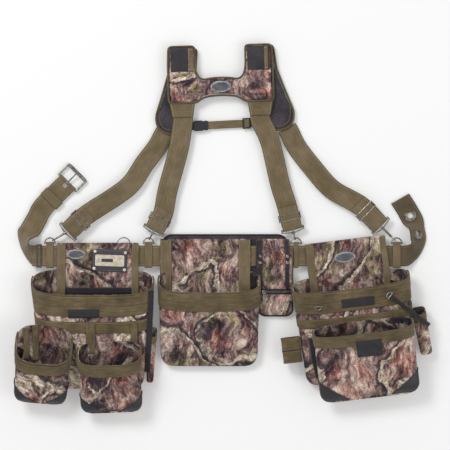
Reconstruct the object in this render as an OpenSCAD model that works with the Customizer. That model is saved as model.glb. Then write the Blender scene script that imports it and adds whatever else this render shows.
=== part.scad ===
// Tool belt with shoulder harness: a webbing belt with three slide-on bags, a flat zip pouch
// and a back pad, and padded suspenders that clip on to four rings.
// It lies on its back. X runs along the belt, Y towards the shoulders, Z out of the bags.
// The origin is on the pad's back face, behind the middle of the belt.

/* [Belt] */
// Width of the belt webbing
belt_w = 50; // [46:1:54]
// Thickness of the belt webbing
belt_t = 2.5; // [2:0.1:3]
// Length of flat belt beyond the middle of the outer left ring keeper
left_len = 34; // [33:1:39]
// Length of flat belt beyond the middle of the outer right ring keeper
right_len = 17; // [15:1:27]
// Room between slack cloth and what passes it
slack = 0.35; // [0.3:0.05:0.4]

/* [Back pad] */
// Length of the back pad along the belt
pad_len = 300; // [280:5:305]
// Height of the back pad
pad_h = 112; // [100:2:120]
// Thickness of the back pad
pad_t = 12; // [10:0.5:14]

/* [Bags] */
// Thickness of one layer of bag cloth
cloth_t = 1.8; // [1.4:0.1:2]
// Wall of a sewn pocket
wall_t = 2.2; // [1.8:0.1:2.6]
// Width of the left bag's upper panel
left_w = 198; // [190:2:198]
// Width of the middle bag's upper panel
middle_w = 220; // [210:2:220]
// Width of the right bag's upper panel
right_w = 196; // [190:1:197]
// Lean of the right bag on the slack of its tunnel
right_tilt = 7; // [5:0.5:7.5]
// Depth of the outer bags' mouths
bag_d = 60; // [52:1:64]
// Depth of the middle bag's mouth
middle_d = 50; // [44:1:54]
// Depth of the front pockets' mouths
front_d = 46; // [38:1:50]

/* [Bands] */
// Thickness of the bands sewn on the pockets
band_t = 2; // [1.6:0.1:2.4]
// Height of the bands round the bags' mouths
band_h = 44; // [38:1:48]

/* [Harness] */
// Width of the suspender webbing
strap_w = 48; // [44:1:50]
// Thickness of the suspender webbing
strap_t = 2.4; // [2:0.1:2.8]
// Thickness of the chest pads
chest_t = 12; // [10:0.5:13]
// Thickness of the yoke
yoke_t = 10; // [8:0.5:12]
// Width of a shoulder arm of the yoke
arm_w = 65; // [60:1:68]
// Wire radius of the rings, loops and sliders
wire_r = 1.8; // [1.5:0.1:2]
// Inner width of the four harness rings
ring_w = 21; // [20:0.5:22]

/* [Belt buckle] */
// Wire radius of the buckle frame
frame_r = 2.6; // [2.2:0.1:3]
// Room round the buckle's pins
pin_gap = 0.08; // [0.05:0.01:0.1]

/* [Chest clip] */
// Width of the chest strap
chest_w = 19; // [17:0.5:20]

/* [Hidden] */
$fn = 32;
// Middles of the outer bags and sides of the flat pouch along the belt
left_x = -306;
right_x = 290;
pouch_left = 80;
pouch_right = 163;
// Middles of the four ring keepers, beside the bags and the pouch
keeper_x = [left_x - left_w / 2 - 16, left_x + left_w / 2 + 23, pouch_right + 8,
  right_x + right_w / 2 + 25];
belt_left = left_len - keeper_x[0];
belt_right = keeper_x[3] + right_len;

// Heights of the layers at the belt
low_z = pad_t + slack;
belt_z = low_z + cloth_t + slack;
belt_top = belt_z + belt_t;
high_z = belt_top + slack;
front_z = high_z + cloth_t;
ring_z = belt_z + belt_t / 2;

// ---- Shared shapes ----

function mix(a, b, t) = a + (b - a) * t;
function unit(v) = v / norm(v);
function power(v, e) = sign(v) * pow(abs(v), e);
function steps(a, b, n) = [for (i = [0:n]) mix(a, b, i / n)];

// Flat plate with round corners, its back on z = 0
module rounded_plate(w, h, r, t) {
  linear_extrude(t) {
    square([w, h - 2 * r], center = true);
    square([w - 2 * r, h], center = true);
    for (x = [-1, 1], y = [-1, 1]) translate([x * (w / 2 - r), y * (h / 2 - r)]) circle(r);
  }
}

function oval(a, b, n = 32) = [for (i = [0:n - 1]) [a * cos(i * 360 / n), b * sin(i * 360 / n)]];

// Round bar from p to q
module bar(p, q, r) {
  d = q - p;
  translate(p) rotate([0, acos(d[2] / norm(d)), atan2(d[1], d[0])]) cylinder(r = r, h = norm(d));
}

// Closed sheet between two grids of points, front and back
module sheet(front, back) {
  rows = len(front);
  cols = len(front[0]);
  size = rows * cols;
  points = [for (g = [front, back]) for (row = g) for (p = row) p];
  skins = [for (i = [0:rows - 2], j = [0:cols - 2])
    let (a = i * cols + j, b = a + 1, c = a + cols + 1, d = a + cols)
    each [[a, b, c], [a, c, d], [size + a, size + c, size + b], [size + a, size + d, size + c]]];
  ends = [for (j = [0:cols - 2]) let (a = j, b = j + 1, c = (rows - 1) * cols + j, d = c + 1)
    each [[b, a, size + a], [b, size + a, size + b], [c, d, size + d], [c, size + d, size + c]]];
  sides = [for (i = [0:rows - 2])
    let (a = i * cols, b = a + cols, c = i * cols + cols - 1, d = c + cols)
    each [[a, b, size + b], [a, size + b, size + a], [d, c, size + c], [d, size + c, size + d]]];
  polyhedron(points, concat(skins, ends, sides));
}

// Open pot between two stacks of rings, outer and inner, floor first
module pot(outer, inner) {
  rows = len(outer);
  cols = len(outer[0]);
  size = rows * cols;
  points = [for (g = [outer, inner]) for (row = g) for (p = row) p];
  walls = [for (i = [0:rows - 2], j = [0:cols - 1])
    let (k = (j + 1) % cols, a = i * cols + j, b = i * cols + k, c = b + cols, d = a + cols)
    each [[a, b, c], [a, c, d], [size + a, size + c, size + b], [size + a, size + d, size + c]]];
  rim = [for (j = [0:cols - 1])
    let (k = (j + 1) % cols, a = (rows - 1) * cols + j, b = (rows - 1) * cols + k)
    each [[a, b, size + b], [a, size + b, size + a]]];
  floors = [[for (j = [cols - 1:-1:0]) j], [for (j = [0:cols - 1]) size + j]];
  polyhedron(points, concat(walls, rim, floors));
}

// Edges of a ribbon: pairs of points, left and right of its path
function strap_edges(path, w) = [for (i = [0:len(path) - 1])
  let (a = path[max(i - 1, 0)], b = path[min(i + 1, len(path) - 1)],
       d = unit([b[0] - a[0], b[1] - a[1]]), side = [-d[1], d[0], 0] * w / 2)
  [path[i] + side, path[i] - side]];

function face_normal(edges, i) =
  let (a = edges[max(i - 1, 0)], b = edges[min(i + 1, len(edges) - 1)])
  unit(cross(edges[i][0] - edges[i][1], b[0] + b[1] - a[0] - a[1]));

// Ribbon of the given thickness through pairs of edge points
module ribbon(edges, t) {
  top = [for (i = [0:len(edges) - 1]) [for (p = edges[i]) p - face_normal(edges, i) * t / 2]];
  low = [for (i = [0:len(edges) - 1]) [for (p = edges[i]) p + face_normal(edges, i) * t / 2]];
  sheet(low, top);
}

// ---- Pockets ----
// A pocket is [floor width, mouth width, floor depth, mouth depth, front height, back height,
// corner radius]. It stands on y = 0 with its back on z = 0.

pocket_e = 0.62;
turn_step = 12;
ring_turns = steps(0, 360 - turn_step, 360 / turn_step - 1);

function inset(h, r) = h >= r ? 0 : r - sqrt(r * r - (r - h) * (r - h));

// Point of a pocket's skin. turn runs 0 right, 90 front, 180 left, 270 back; rise is 0 to 1.
function skin(p, turn, rise, out) =
  let (pull = inset(rise * p[4], p[6]), w = mix(p[0], p[1], rise) / 2 - pull + out,
       d = mix(p[2], p[3], rise) / 2, dd = d - min(pull, d * 0.8) + out,
       z = d + power(sin(turn), pocket_e) * dd, x = power(cos(turn), pocket_e) * w)
  [x, rise * mix(p[5], p[4], z / (2 * d)) , z];

// Heights of a pocket's corner rings as shares of its height
function corner_rises(p) = [for (h = [0, 0.12, 0.45, 1]) h * p[6] / p[4]];

module pocket(p) {
  rises = concat(corner_rises(p), [0.5, 0.78, 1]);
  shrink = 1 - wall_t / p[4];
  pot([for (s = rises) [for (u = ring_turns) skin(p, u, s, 0)]],
      [for (s = rises) [for (u = ring_turns)
        let (q = skin(p, u, s, -wall_t)) [q[0], wall_t + q[1] * shrink, q[2]]]]);
}

// Band sewn round the front of a pocket between two rises
module pocket_band(p, low, high) {
  turns = steps(-turn_step, 180 + turn_step, 180 / turn_step + 2);
  sheet([for (s = [low, high]) [for (u = turns) skin(p, u, s, slack + band_t)]],
        [for (s = [low, high]) [for (u = turns) skin(p, u, s, slack)]]);
}
// ---- Belt ----

// Turned end of the belt at the left, up to the buckle: pairs of inner and outer edge points
buckle_z = 6;
left_turn = [for (e = [
    [[0, 25], [0, -25], 0, 0], [[-9, 26], [-8, -22], 1, 14], [[-15, 29], [-22, -6], 5, 34],
    [[-16, 34], [-35, 18], 8, 42], [[-13, 40], [-42, 45], 5, 36], [[-2, 46], [-43, 62], -2, 20],
    [[8, 51], [-37, 73], buckle_z - ring_z, 0], [[24, 78], [-20, 103], buckle_z - ring_z, 0],
    [[38, 104], [-2, 134], buckle_z - ring_z, 0], [[89, 155], [54, 190], buckle_z - ring_z, 0]])
  [for (k = [0, 1]) [e[k][0] - belt_left, e[k][1], ring_z + e[2] + (0.5 - k) * e[3]]]];

// Turned tongue at the right
tongue_z = 3.6;
right_turn = [for (e = [
    [[0, 25], [0, -25], 0, 0], [[10, 26], [16, -20], 1, 14], [[16, 29], [36, -2], 4, 34],
    [[17, 34], [49, 20], 4, 38], [[16, 39], [54, 43], 3, 32], [[12, 65], [50, 69], 3, 32],
    [[1, 78], [45, 92], tongue_z - ring_z, 0], [[-13, 101], [30, 122], tongue_z - ring_z, 0],
    [[-29, 126], [13, 150], tongue_z - ring_z, 0]])
  [for (k = [0, 1]) [e[k][0] + belt_right, e[k][1], ring_z + e[2] + (0.5 - k) * e[3]]]];

function wide(edges, w) = [for (e = edges)
  let (m = (e[0] + e[1]) / 2, s = unit(e[0] - e[1]) * w / 2) [m + s, m - s]];

left_end = wide(left_turn, belt_w);
right_end = wide(right_turn, belt_w);
belt_edges = concat([for (i = [len(left_end) - 1:-1:0]) left_end[i]],
                    [for (e = right_end) e]);

hole_r = 8.4;
grommet_r = 14;
// Stations along the tongue at which its holes lie
hole_spots = [6.45, 4.5];

module at_hole(spot) {
  i = floor(spot);
  f = spot - i;
  edges = [for (k = [0, 1]) mix(right_end[i][k], right_end[i + 1][k], f)];
  n = -unit(mix(face_normal(right_end, i), face_normal(right_end, i + 1), f));
  translate((edges[0] + edges[1]) / 2) rotate([0, acos(n[2]), atan2(n[1], n[0])]) children();
}

// Frame of the buckle: its rear bar runs through the origin and the frame reaches along Y
module at_buckle() {
  e = left_end[len(left_end) - 1];
  d = e[0] - e[1];
  translate((e[0] + e[1]) / 2) rotate([0, 0, atan2(d[1], d[0])]) children();
}

// Sewn eye at the end of a strap of width w round a bar of radius r, along X
eye_tail = 6;

module strap_eye(w, r, t, tail = eye_tail) {
  translate([-w / 2, 0, 0]) rotate([0, 90, 0]) difference() {
    union() {
      cylinder(r = r + slack + t, h = w);
      translate([-t / 2 - 0.4, -r - slack - t - tail, 0]) cube([t + 0.8, r + tail, w]);
    }
    translate([0, 0, -1]) cylinder(r = r + slack, h = w + 2);
  }
}

// The belt ends in two sewn eyes round the buckle's rear bar, with room for the prong between them
prong_room = 9;
prong_swing = 8.5;

module belt_webbing() {
  color("olive") difference() {
    union() {
      difference() {
        ribbon(belt_edges, belt_t);
        at_buckle() translate([-belt_w, -prong_swing - slack, -8]) cube([2 * belt_w, 30, 16]);
      }
      at_buckle() translate([0, belt_t + frame_r + slack, 0]) strap_eye(belt_w, frame_r, belt_t, prong_swing);
    }
    for (s = hole_spots) at_hole(s) {
      cylinder(r = hole_r + slack, h = 12, center = true);
      for (k = [0, 1]) mirror([0, 0, k]) translate([0, 0, belt_t / 2 - 0.2])
        cylinder(r = grommet_r + slack, h = 5);
    }
    at_buckle() translate([-prong_room / 2, -prong_swing - slack / 2, -8]) cube([prong_room, 30, 16]);
  }
}

// Ring-shaped grommet of two flanges and a tube
module grommet() {
  out = belt_t / 2 + 1;
  rotate_extrude($fn = 24) translate([hole_r - 1.4, 0]) polygon([
    [0, -out], [grommet_r - hole_r + 1.4, -out], [grommet_r - hole_r + 1.4, -belt_t / 2],
    [1.4, -belt_t / 2], [1.4, belt_t / 2], [grommet_r - hole_r + 1.4, belt_t / 2],
    [grommet_r - hole_r + 1.4, out], [0, out]]);
}

module tongue_grommets() {
  color("silver") for (s = hole_spots) at_hole(s) grommet();
}

// Back pad. Its front thins out below the belt, where the bags lie against it.
pad_y = -6;

module lumbar_pad() {
  color("dimgray") difference() {
    translate([0, pad_y, 0]) {
      translate([0, 0, 1.5]) rounded_plate(pad_len, pad_h, 22, pad_t - 3);
      rounded_plate(pad_len - 8, pad_h - 8, 18, pad_t);
    }
    translate([-pad_len, -belt_w / 2 - slack, pad_t]) rotate([184.5, 0, 0]) mirror([0, 0, 1])
      cube([2 * pad_len, pad_h, pad_t]);
  }
}

// Widths of the four ring keepers: left outer, left inner, right inner, right outer
keeper_w = [18, 19, 12, 19];
ring_y = belt_w / 2 + slack + cloth_t + wire_r + 1.4;
eye_r = wire_r + slack;

// Webbing band round the belt with an eye for a ring above it, as a profile in YZ
module keeper_profile() {
  in_y = belt_w / 2 + slack;
  difference() {
    union() {
      translate([-in_y - cloth_t, low_z]) square([2 * (in_y + cloth_t), front_z - low_z]);
      translate([0, ring_z - eye_r - cloth_t]) square([ring_y, 2 * (eye_r + cloth_t)]);
      translate([ring_y, ring_z]) circle(eye_r + cloth_t);
    }
    translate([-in_y, belt_z - slack]) square([2 * in_y, belt_t + 2 * slack]);
    translate([ring_y, ring_z]) circle(eye_r);
  }
}

module ring_keepers() {
  color("olive") for (i = [0:3]) translate([keeper_x[i] - keeper_w[i] / 2, 0, 0])
    rotate([90, 0, 90]) linear_extrude(keeper_w[i]) keeper_profile();
}

// Flat three-bar slider for a strap of width w that runs along Y with its middle on z = 0.
// The outer bars pass over the strap and the middle bar passes under it.
module slider(w, t, r, length) {
  half = w / 2 + slack + r;
  up = t / 2 + slack + r;
  for (x = [-half, half]) {
    bar([x, -length / 2, 0], [x, length / 2, 0], r);
    for (y = [-length / 2, length / 2]) bar([x, y, 0], [x, y, up], r);
    bar([x, 0, -up], [x, 0, 0], r);
  }
  for (y = [-length / 2, length / 2]) {
    bar([-half, y, up], [half, y, up], r);
    for (x = [-half, half], z = [0, up]) translate([x, y, z]) sphere(r);
  }
  bar([-half, 0, -up], [half, 0, -up], r);
  for (x = [-half, half]) translate([x, 0, -up]) sphere(r);
}

module belt_slider() {
  color("silver") translate([-belt_left + 8, 0, ring_z]) rotate([0, 0, 90])
    slider(belt_w, belt_t, 1.6, 10, $fn = 16);
}

// ---- Buckle ----

frame_half = belt_w / 2 + slack + 1 + frame_r;
frame_len = 34;
roller_r = frame_r + pin_gap + 1.5;
// The frame's own origin is its rear bar
module at_frame() {
  at_buckle() translate([0, belt_t + frame_r + slack, 0]) children();
}

module buckle_frame() {
  color("silver") at_frame() {
    for (y = [0, frame_len]) bar([-frame_half, y, 0], [frame_half, y, 0], frame_r);
    for (x = [-frame_half, frame_half]) {
      bar([x, 0, 0], [x, frame_len, 0], frame_r);
      for (y = [0, frame_len]) translate([x, y, 0]) sphere(frame_r);
    }
  }
}

roller_len = 2 * (frame_half - frame_r - slack);

module buckle_roller() {
  color("silver") at_frame() translate([-roller_len / 2, frame_len, 0]) rotate([0, 90, 0])
    difference() {
      cylinder(r = roller_r, h = roller_len);
      translate([0, 0, -1]) cylinder(r = frame_r + pin_gap, h = roller_len + 2);
    }
}

prong_r = 1.7;
prong_w = prong_room - 3;

// Tongue of the buckle: a collar on the rear bar and a pin that rests on the roller
module buckle_prong() {
  rise = atan((roller_r + prong_r + slack - 0.6) / frame_len);
  color("silver") at_frame() difference() {
    union() {
      translate([-prong_w / 2, 0, 0]) rotate([0, 90, 0])
        cylinder(r = frame_r + pin_gap + 1.8, h = prong_w);
      rotate([rise, 0, 0]) translate([0, 0, 0.6]) {
        rotate([-90, 0, 0]) cylinder(r = prong_r, h = frame_len + 4);
        translate([0, frame_len + 4, 0]) sphere(prong_r);
      }
    }
    translate([-prong_w, 0, 0]) rotate([0, 90, 0])
      cylinder(r = frame_r + pin_gap, h = 2 * prong_w);
  }
}

// Loose webbing band that holds the end of the belt, near the buckle
band_back = 48;

module belt_keeper() {
  w = belt_w + 2 * slack;
  h = 2 * belt_t + 2 * slack;
  low = belt_t / 2 + slack;
  color("olive") at_buckle() translate([0, -band_back, 0]) rotate([90, 0, 0])
    linear_extrude(22, center = true) difference() {
      translate([-w / 2 - cloth_t, -low - cloth_t]) square([w + 2 * cloth_t, h + 2 * cloth_t]);
      translate([-w / 2, -low]) square([w, h]);
    }
}

// ---- Bags ----

// Upper panel of a bag with the tunnel that the belt runs through, its middle at x = 0
module bag_panel(w, top, tunnel, flap, lean) {
  half = tunnel / 2;
  back = half + cloth_t;
  drop = (flap - back) * tan(lean);
  translate([-w / 2, 0, 0]) rotate([90, 0, 90]) linear_extrude(w) difference() {
    polygon([[top, low_z], [top, front_z], [-back, front_z], [-back, low_z + cloth_t],
      [-flap, low_z + cloth_t - drop], [-flap, low_z - drop], [-back, low_z]]);
    translate([-half, belt_z - slack]) square([tunnel, belt_t + 2 * slack]);
  }
}

// Lean of a main pocket whose back reaches up to the bottom of the tunnel
function pocket_lean(back_h) = atan((low_z + cloth_t) / back_h);

// Places a main pocket with its floor at y and its middle at x
module main_at(x, y, back_h) {
  translate([x, y, slack]) rotate([pocket_lean(back_h), 0, 0]) children();
}

// Lean of the front of a main pocket against its back
function front_lean(p) = atan((p[3] - p[2]) / p[4]);

// Places a front pocket at a gap from the front of the main pocket p
module on_front(p, x, y, turn, gap) {
  rotate([front_lean(p), 0, 0]) translate([x, y, p[2] + gap]) rotate([0, 0, turn]) children();
}

// Corner patch of a front pocket, on the side given by 1 or -1. Its top edge falls towards the
// middle of the pocket.
patch_t = 1.4;

module corner_patch(p, side, reach) {
  rings = corner_rises(p);
  cols = 6;
  span = cols * turn_step;
  turns = [for (k = [0:cols]) side > 0 ? k * turn_step : 180 - (cols - k) * turn_step];
  function top(u) = mix(rings[3] * 1.05, reach, 1 - abs(90 - u - side * span) / span);
  rows = [for (i = [1:4]) [for (u = turns) i < 4 ? rings[i] : top(u)]];
  sheet([for (row = rows) [for (k = [0:cols]) skin(p, turns[k], row[k], slack + patch_t)]],
        [for (row = rows) [for (k = [0:cols]) skin(p, turns[k], row[k], slack)]]);
}

// Thin oval badge
module badge(a, b) {
  linear_extrude(1.6) polygon(oval(a, b));
}

badge_a = 25;
badge_b = 14;

// -- Left bag --
left_tunnel = belt_w + 6;
left_floor = -318;
left_back_h = -left_floor - left_tunnel / 2 - cloth_t - slack;
left_main = [240, 290, 34, bag_d, left_back_h - 60, left_back_h, 24];
left_main_x = -317;
left_low_band = 0.56;

module left_panel() {
  color("sienna") translate([left_x, 0, 0])
    bag_panel(left_w, 31, left_tunnel, 104, pocket_lean(left_back_h));
}

module left_main() {
  main_at(left_main_x, left_floor, left_back_h) children();
}

module left_main_pocket() {
  color("sienna") left_main() pocket(left_main);
}

side_pocket = [122, 132, 28, front_d, 104, 188, 20];
wide_pocket = [144, 150, 28, front_d, 122, 172, 22];

module at_side_pocket() {
  left_main() on_front(left_main, -127, -27, -5, slack - 0.2) children();
}

module at_wide_pocket() {
  left_main() on_front(left_main, 46, -50, 2, slack - 0.3) children();
}

module left_bands() {
  h = left_main[4];
  color("olive") {
    left_main() {
      pocket_band(left_main, 1 - band_h / h, 1);
      pocket_band(left_main, left_low_band, left_low_band + 25 / h);
    }
    at_side_pocket() pocket_band(side_pocket, 0.76, 1);
    at_wide_pocket() pocket_band(wide_pocket, 0.78, 1);
  }
}

module left_front_pockets() {
  color("sienna") {
    at_side_pocket() pocket(side_pocket);
    at_wide_pocket() pocket(wide_pocket);
  }
}

module left_corner_patches() {
  color("black") {
    for (k = [-1, 1]) at_side_pocket() corner_patch(side_pocket, k, 0.42);
    for (k = [-1, 1]) at_wide_pocket() corner_patch(wide_pocket, k, 0.38);
  }
}

module left_badge() {
  color("silver") translate([-358, 4, front_z + slack]) badge(badge_a - 3, badge_b - 2);
}

// Holder for a tape rule: leather base, steel clip and rivets
tape_x = -277;
tape_y = -11;
base_t = 2.4;
clip_t = 1.6;
clip_gap = 1.2;
rivet_spots = [[-36, 21], [37, 20], [-37, -20], [36, -21]];
clip_rivets = [[-31, 4], [29, 0]];

module tape_base() {
  color("black") translate([tape_x, tape_y, front_z + slack]) rotate([0, 0, -2]) difference() {
    rounded_plate(84, 54, 6, base_t);
    for (s = rivet_spots) translate([s[0], s[1], -1]) cylinder(r = 2.1, h = base_t + 2);
  }
}

module tape_clip() {
  color("silver") translate([tape_x, tape_y, front_z + slack + base_t + slack]) rotate([0, 0, -2])
    difference() {
      rounded_plate(70, 27, 3, clip_t);
      translate([-6, 0, -1]) rounded_plate(28, 8, 2, clip_t + 2);
      for (s = clip_rivets) translate([s[0], s[1], -1]) cylinder(r = 2.1, h = clip_t + 2);
    }
}

module rivet(len) {
  cylinder(r = 2, h = len);
  translate([0, 0, len + slack]) cylinder(r = 3.6, h = 1.4);
  translate([0, 0, len]) cylinder(r = 2, h = slack);
}

module tape_rivets() {
  color("silver") translate([tape_x, tape_y, front_z + slack]) rotate([0, 0, -2]) {
    for (s = rivet_spots) translate([s[0], s[1], 0]) rivet(base_t);
    for (s = clip_rivets) translate([s[0], s[1], base_t + slack]) rivet(clip_t);
  }
}

// Narrow sleeve and its hammer strap at the right side of the left bag
module left_sleeve() {
  color("sienna") left_main() translate([left_main[1] / 2 - 8, 14, 6]) rotate([0, 0, -3.2])
    pocket([16, 20, 16, 26, 112, 132, 6]);
}

// -- Middle bag --
middle_x = -47;
middle_tunnel = belt_w + 6;
middle_floor = -264;
middle_back_h = -middle_floor - middle_tunnel / 2 - cloth_t - slack;
middle_main = [232, 242, 30, middle_d, middle_back_h - 54, middle_back_h, 28];
middle_main_x = -38;

module middle_panel() {
  color("sienna") translate([middle_x, 0, 0])
    bag_panel(middle_w, 41, middle_tunnel, 80, pocket_lean(middle_back_h));
}

module middle_pocket() {
  color("sienna") main_at(middle_main_x, middle_floor, middle_back_h) pocket(middle_main);
}

module middle_band() {
  color("olive") main_at(middle_main_x, middle_floor, middle_back_h)
    pocket_band(middle_main, 1 - band_h / middle_main[4], 1);
}

// -- Right bag, in its own tilted frame --
right_tunnel = belt_w / cos(right_tilt) + right_w * tan(right_tilt) + 2 * slack + 1;
right_floor = -300;
right_back_h = -right_floor - right_tunnel / 2 - cloth_t - slack;
right_main = [264, 280, 34, bag_d, right_back_h - 36, right_back_h, 26];

module right_bag() {
  translate([right_x, 0, 0]) rotate([0, 0, right_tilt]) children();
}

module right_panel() {
  color("sienna") right_bag() translate([3, 0, 0])
    bag_panel(right_w, right_tunnel / 2 + cloth_t, right_tunnel, 92, pocket_lean(right_back_h));
}

module at_right_main() {
  right_bag() main_at(3, right_floor, right_back_h) children();
}

module right_main_pocket() {
  color("sienna") at_right_main() pocket(right_main);
}

right_low_band = 0.55;
right_front = [236, 242, 28, front_d, 150, 178, 26];

module at_right_front() {
  at_right_main() on_front(right_main, 14, -36, 0, 2 * slack + band_t) children();
}

module right_bands() {
  h = right_main[4];
  color("olive") {
    at_right_main() {
      pocket_band(right_main, 1 - (band_h + 6) / h, 1);
      pocket_band(right_main, right_low_band, right_low_band + 19 / h);
    }
    at_right_front() pocket_band(right_front, 0.83, 1);
  }
}

module right_front_pocket() {
  color("sienna") at_right_front() pocket(right_front);
}

module right_corner_patches() {
  color("black") for (k = [-1, 1]) at_right_front() corner_patch(right_front, k, 0.36);
}

module right_badge() {
  color("silver") translate([288, -3, front_z + slack]) rotate([0, 0, right_tilt])
    badge(badge_a, badge_b - 1);
}

// Webbing loop at the left side of the right bag, open above and below
loop_h = 60;

module right_side_loop() {
  color("olive") at_right_main() translate([-136.4, 64, 10]) rotate([-90, 0, 0])
    linear_extrude(loop_h) difference() {
      translate([-46, -34]) square([46, 34]);
      translate([-46 + cloth_t + 0.4, -34 + cloth_t + 0.4])
        square([46 - 2 * cloth_t - 0.8, 34 - 2 * cloth_t - 0.8]);
    }
}

module right_sleeve() {
  color("sienna") at_right_main() translate([right_main[1] / 2 + 20.6, 42, 8]) rotate([0, 0, 4.5])
    pocket([24, 26, 18, 28, 100, 114, 8]);
}

// Rings on the right bag's upper band: a small one, and one that holds the lanyard
small_spot = skin(right_main, 116, 0.86, band_t + 2 * slack);
lanyard_spot = skin(right_main, 62, 0.88, band_t + 2 * slack);
lanyard_turn = -134;
ring_wire = 1.5;
lanyard_w = 10;
lanyard_t = 1.6;
eye_out = ring_wire + slack + lanyard_t;

module at_lanyard() {
  at_right_main() translate(lanyard_spot + [0, 0, eye_out]) rotate([0, 0, lanyard_turn]) children();
}

module bag_ring(half) {
  bar([-half, 0, 0], [half, 0, 0], ring_wire);
  rotate([0, 0, 180]) rotate_extrude(angle = 180) translate([half, 0]) circle(ring_wire, $fn = 16);
  for (x = [-half, half]) translate([x, 0, 0]) sphere(ring_wire);
}

module bag_rings() {
  color("silver") {
    at_lanyard() bag_ring(lanyard_w / 2 + eye_out);
    at_right_main() translate(small_spot + [0, 0, ring_wire + 1]) bag_ring(8);
  }
}

module lanyard() {
  path = [for (q = [[0, 0], [30, 0], [64, -5], [92, -14], [116, -24]]) [0, eye_out + q[0], q[1]]];
  color("black") at_lanyard() {
    ribbon(strap_edges(path, lanyard_w), lanyard_t);
    rotate([0, 0, 180]) strap_eye(lanyard_w, ring_wire, lanyard_t);
  }
}

// ---- Flat pouch on the pad, between the middle and right bags ----

pouch_drop = -144;
pouch_bulk = 7;

// Side outline of the pouch in YZ: it lies over the belt and hangs down below it
module pouch_profile() {
  half = belt_w / 2 + 4;
  polygon([[41, high_z], [41, high_z + 4], [10, high_z + pouch_bulk], [-half, high_z + pouch_bulk],
    [-half - 30, low_z + pouch_bulk], [pouch_drop + 14, low_z + 1], [pouch_drop, low_z - 5],
    [pouch_drop, low_z - 7], [-pad_h / 2 - 14, low_z - 4], [-half - 30, low_z],
    [-half, high_z]]);
}

module flat_pouch() {
  w = pouch_right - pouch_left;
  color("sienna") intersection() {
    translate([pouch_left, 0, 0]) rotate([90, 0, 90]) linear_extrude(w) pouch_profile();
    translate([(pouch_left + pouch_right) / 2, (41 + pouch_drop) / 2, 0])
      difference() {
        rounded_plate(w, 41 - pouch_drop, 18, 60);
        translate([w / 2 - 12, (41 - pouch_drop) / 2 - 15, -1]) cube([20, 20, 62]);
      }
  }
}

// Point on the front of the pouch at height y
function pouch_front(y) = let (half = belt_w / 2 + 4)
  y > -half ? high_z + pouch_bulk : y > -half - 30
  ? mix(high_z + pouch_bulk, low_z + pouch_bulk, (-half - y) / 30)
  : mix(low_z + pouch_bulk, low_z + 1, (-half - 30 - y) / (-pouch_drop - 14 - half - 30));

zip_y = -86;
zip_lean = atan(6 / (-pouch_drop - 14 - belt_w / 2 - 34));

module at_zip() {
  translate([0, zip_y, pouch_front(zip_y) + slack]) rotate([zip_lean, 0, 0]) children();
}

module pouch_zip() {
  color("dimgray") at_zip() translate([pouch_left + 3, -6, 0])
    cube([pouch_right - pouch_left - 6, 12, 1.2]);
}

module zip_pull() {
  color("silver") at_zip() translate([pouch_left + 14, 0, 1.2 + slack]) {
    translate([-5, -4, 0]) cube([10, 8, 2.4]);
    translate([-3, -22, 0.8]) cube([6, 20, 1.4]);
  }
}

pouch_strap_x = [-41, 28];

module pouch_straps() {
  z = high_z + pouch_bulk + slack;
  color("black") for (x = pouch_strap_x) {
    translate([(pouch_left + pouch_right) / 2 + x - 5 + (x < 0 ? 4 : 0), -belt_w / 2 - 3, z])
      cube([10, belt_w / 2 + 8, 1.4]);
  }
}

module pouch_snaps() {
  z = high_z + pouch_bulk + slack + 1.4 + slack;
  color("silver") for (x = pouch_strap_x, y = [-16, -1])
    translate([(pouch_left + pouch_right) / 2 + x + (x < 0 ? 4 : 0), y, z]) cylinder(r = 4, h = 1.8);
}

// ---- Harness ----

yoke_x = -10;
yoke_y = 403;
yoke_turn = 1.6;
yoke_z = chest_t + slack;
arm_in = 61;
arm_top = 103;
tab_h = 28;

function mirrored(half) = concat(half, [for (i = [len(half) - 1:-1:0]) [-half[i][0], half[i][1]]]);

module yoke_outline() {
  out = arm_in + arm_w;
  polygon(mirrored([[0, 26], [24, 25], [42, 21], [50, 25], [56, 33], [arm_in - 1, 46],
    [arm_in, 62], [arm_in, arm_top], [out - 2, arm_top], [out, 60], [out, -33],
    [57, -33], [52, -27], [44, -22], [30, -18], [0, -16]]));
}

module at_yoke() {
  translate([yoke_x, yoke_y, yoke_z]) rotate([0, 0, yoke_turn]) children();
}

module yoke_pad() {
  color("sienna") at_yoke() {
    translate([0, 0, 1.5]) linear_extrude(yoke_t - 3) yoke_outline();
    linear_extrude(yoke_t) offset(delta = -3) yoke_outline();
  }
}

module yoke_badge() {
  color("silver") at_yoke() translate([0, 4, yoke_t + slack]) badge(badge_a, badge_b);
}

// Webbing tabs at the feet of the yoke, where the back straps are sewn in
module yoke_tabs() {
  mid = arm_in + arm_w / 2;
  color("olive") at_yoke() for (k = [-1, 1]) translate([0, -33 - slack, yoke_t / 2 - 2.6])
    linear_extrude(5.2) polygon([[k * (mid + arm_w / 2), 0], [k * (mid - arm_w / 2 + 4), 0],
      [k * (mid - strap_w / 2), -tab_h], [k * (mid + strap_w / 2), -tab_h]]);
}

shoulder = [[-100, 503, -1, 0], [82, 509, 1, 6]];

module at_shoulder(i) {
  s = shoulder[i];
  translate([s[0], s[1], 0]) rotate([0, 0, s[3]]) mirror([s[2] < 0 ? 1 : 0, 0, 0]) children();
}

module chest_outline() {
  polygon([[-32, -4], [33, -4], [36, -63], [50, -113], [66, -165], [66, -180], [60, -197],
    [46, -207], [25, -210], [8, -206], [-4, -194], [-9, -176], [-14, -150], [-28, -83]]);
}

module chest_pads() {
  color("dimgray") for (i = [0, 1]) at_shoulder(i) {
    translate([0, 0, 1.5]) linear_extrude(chest_t - 3) chest_outline();
    linear_extrude(chest_t) offset(delta = -3) chest_outline();
  }
}

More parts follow.
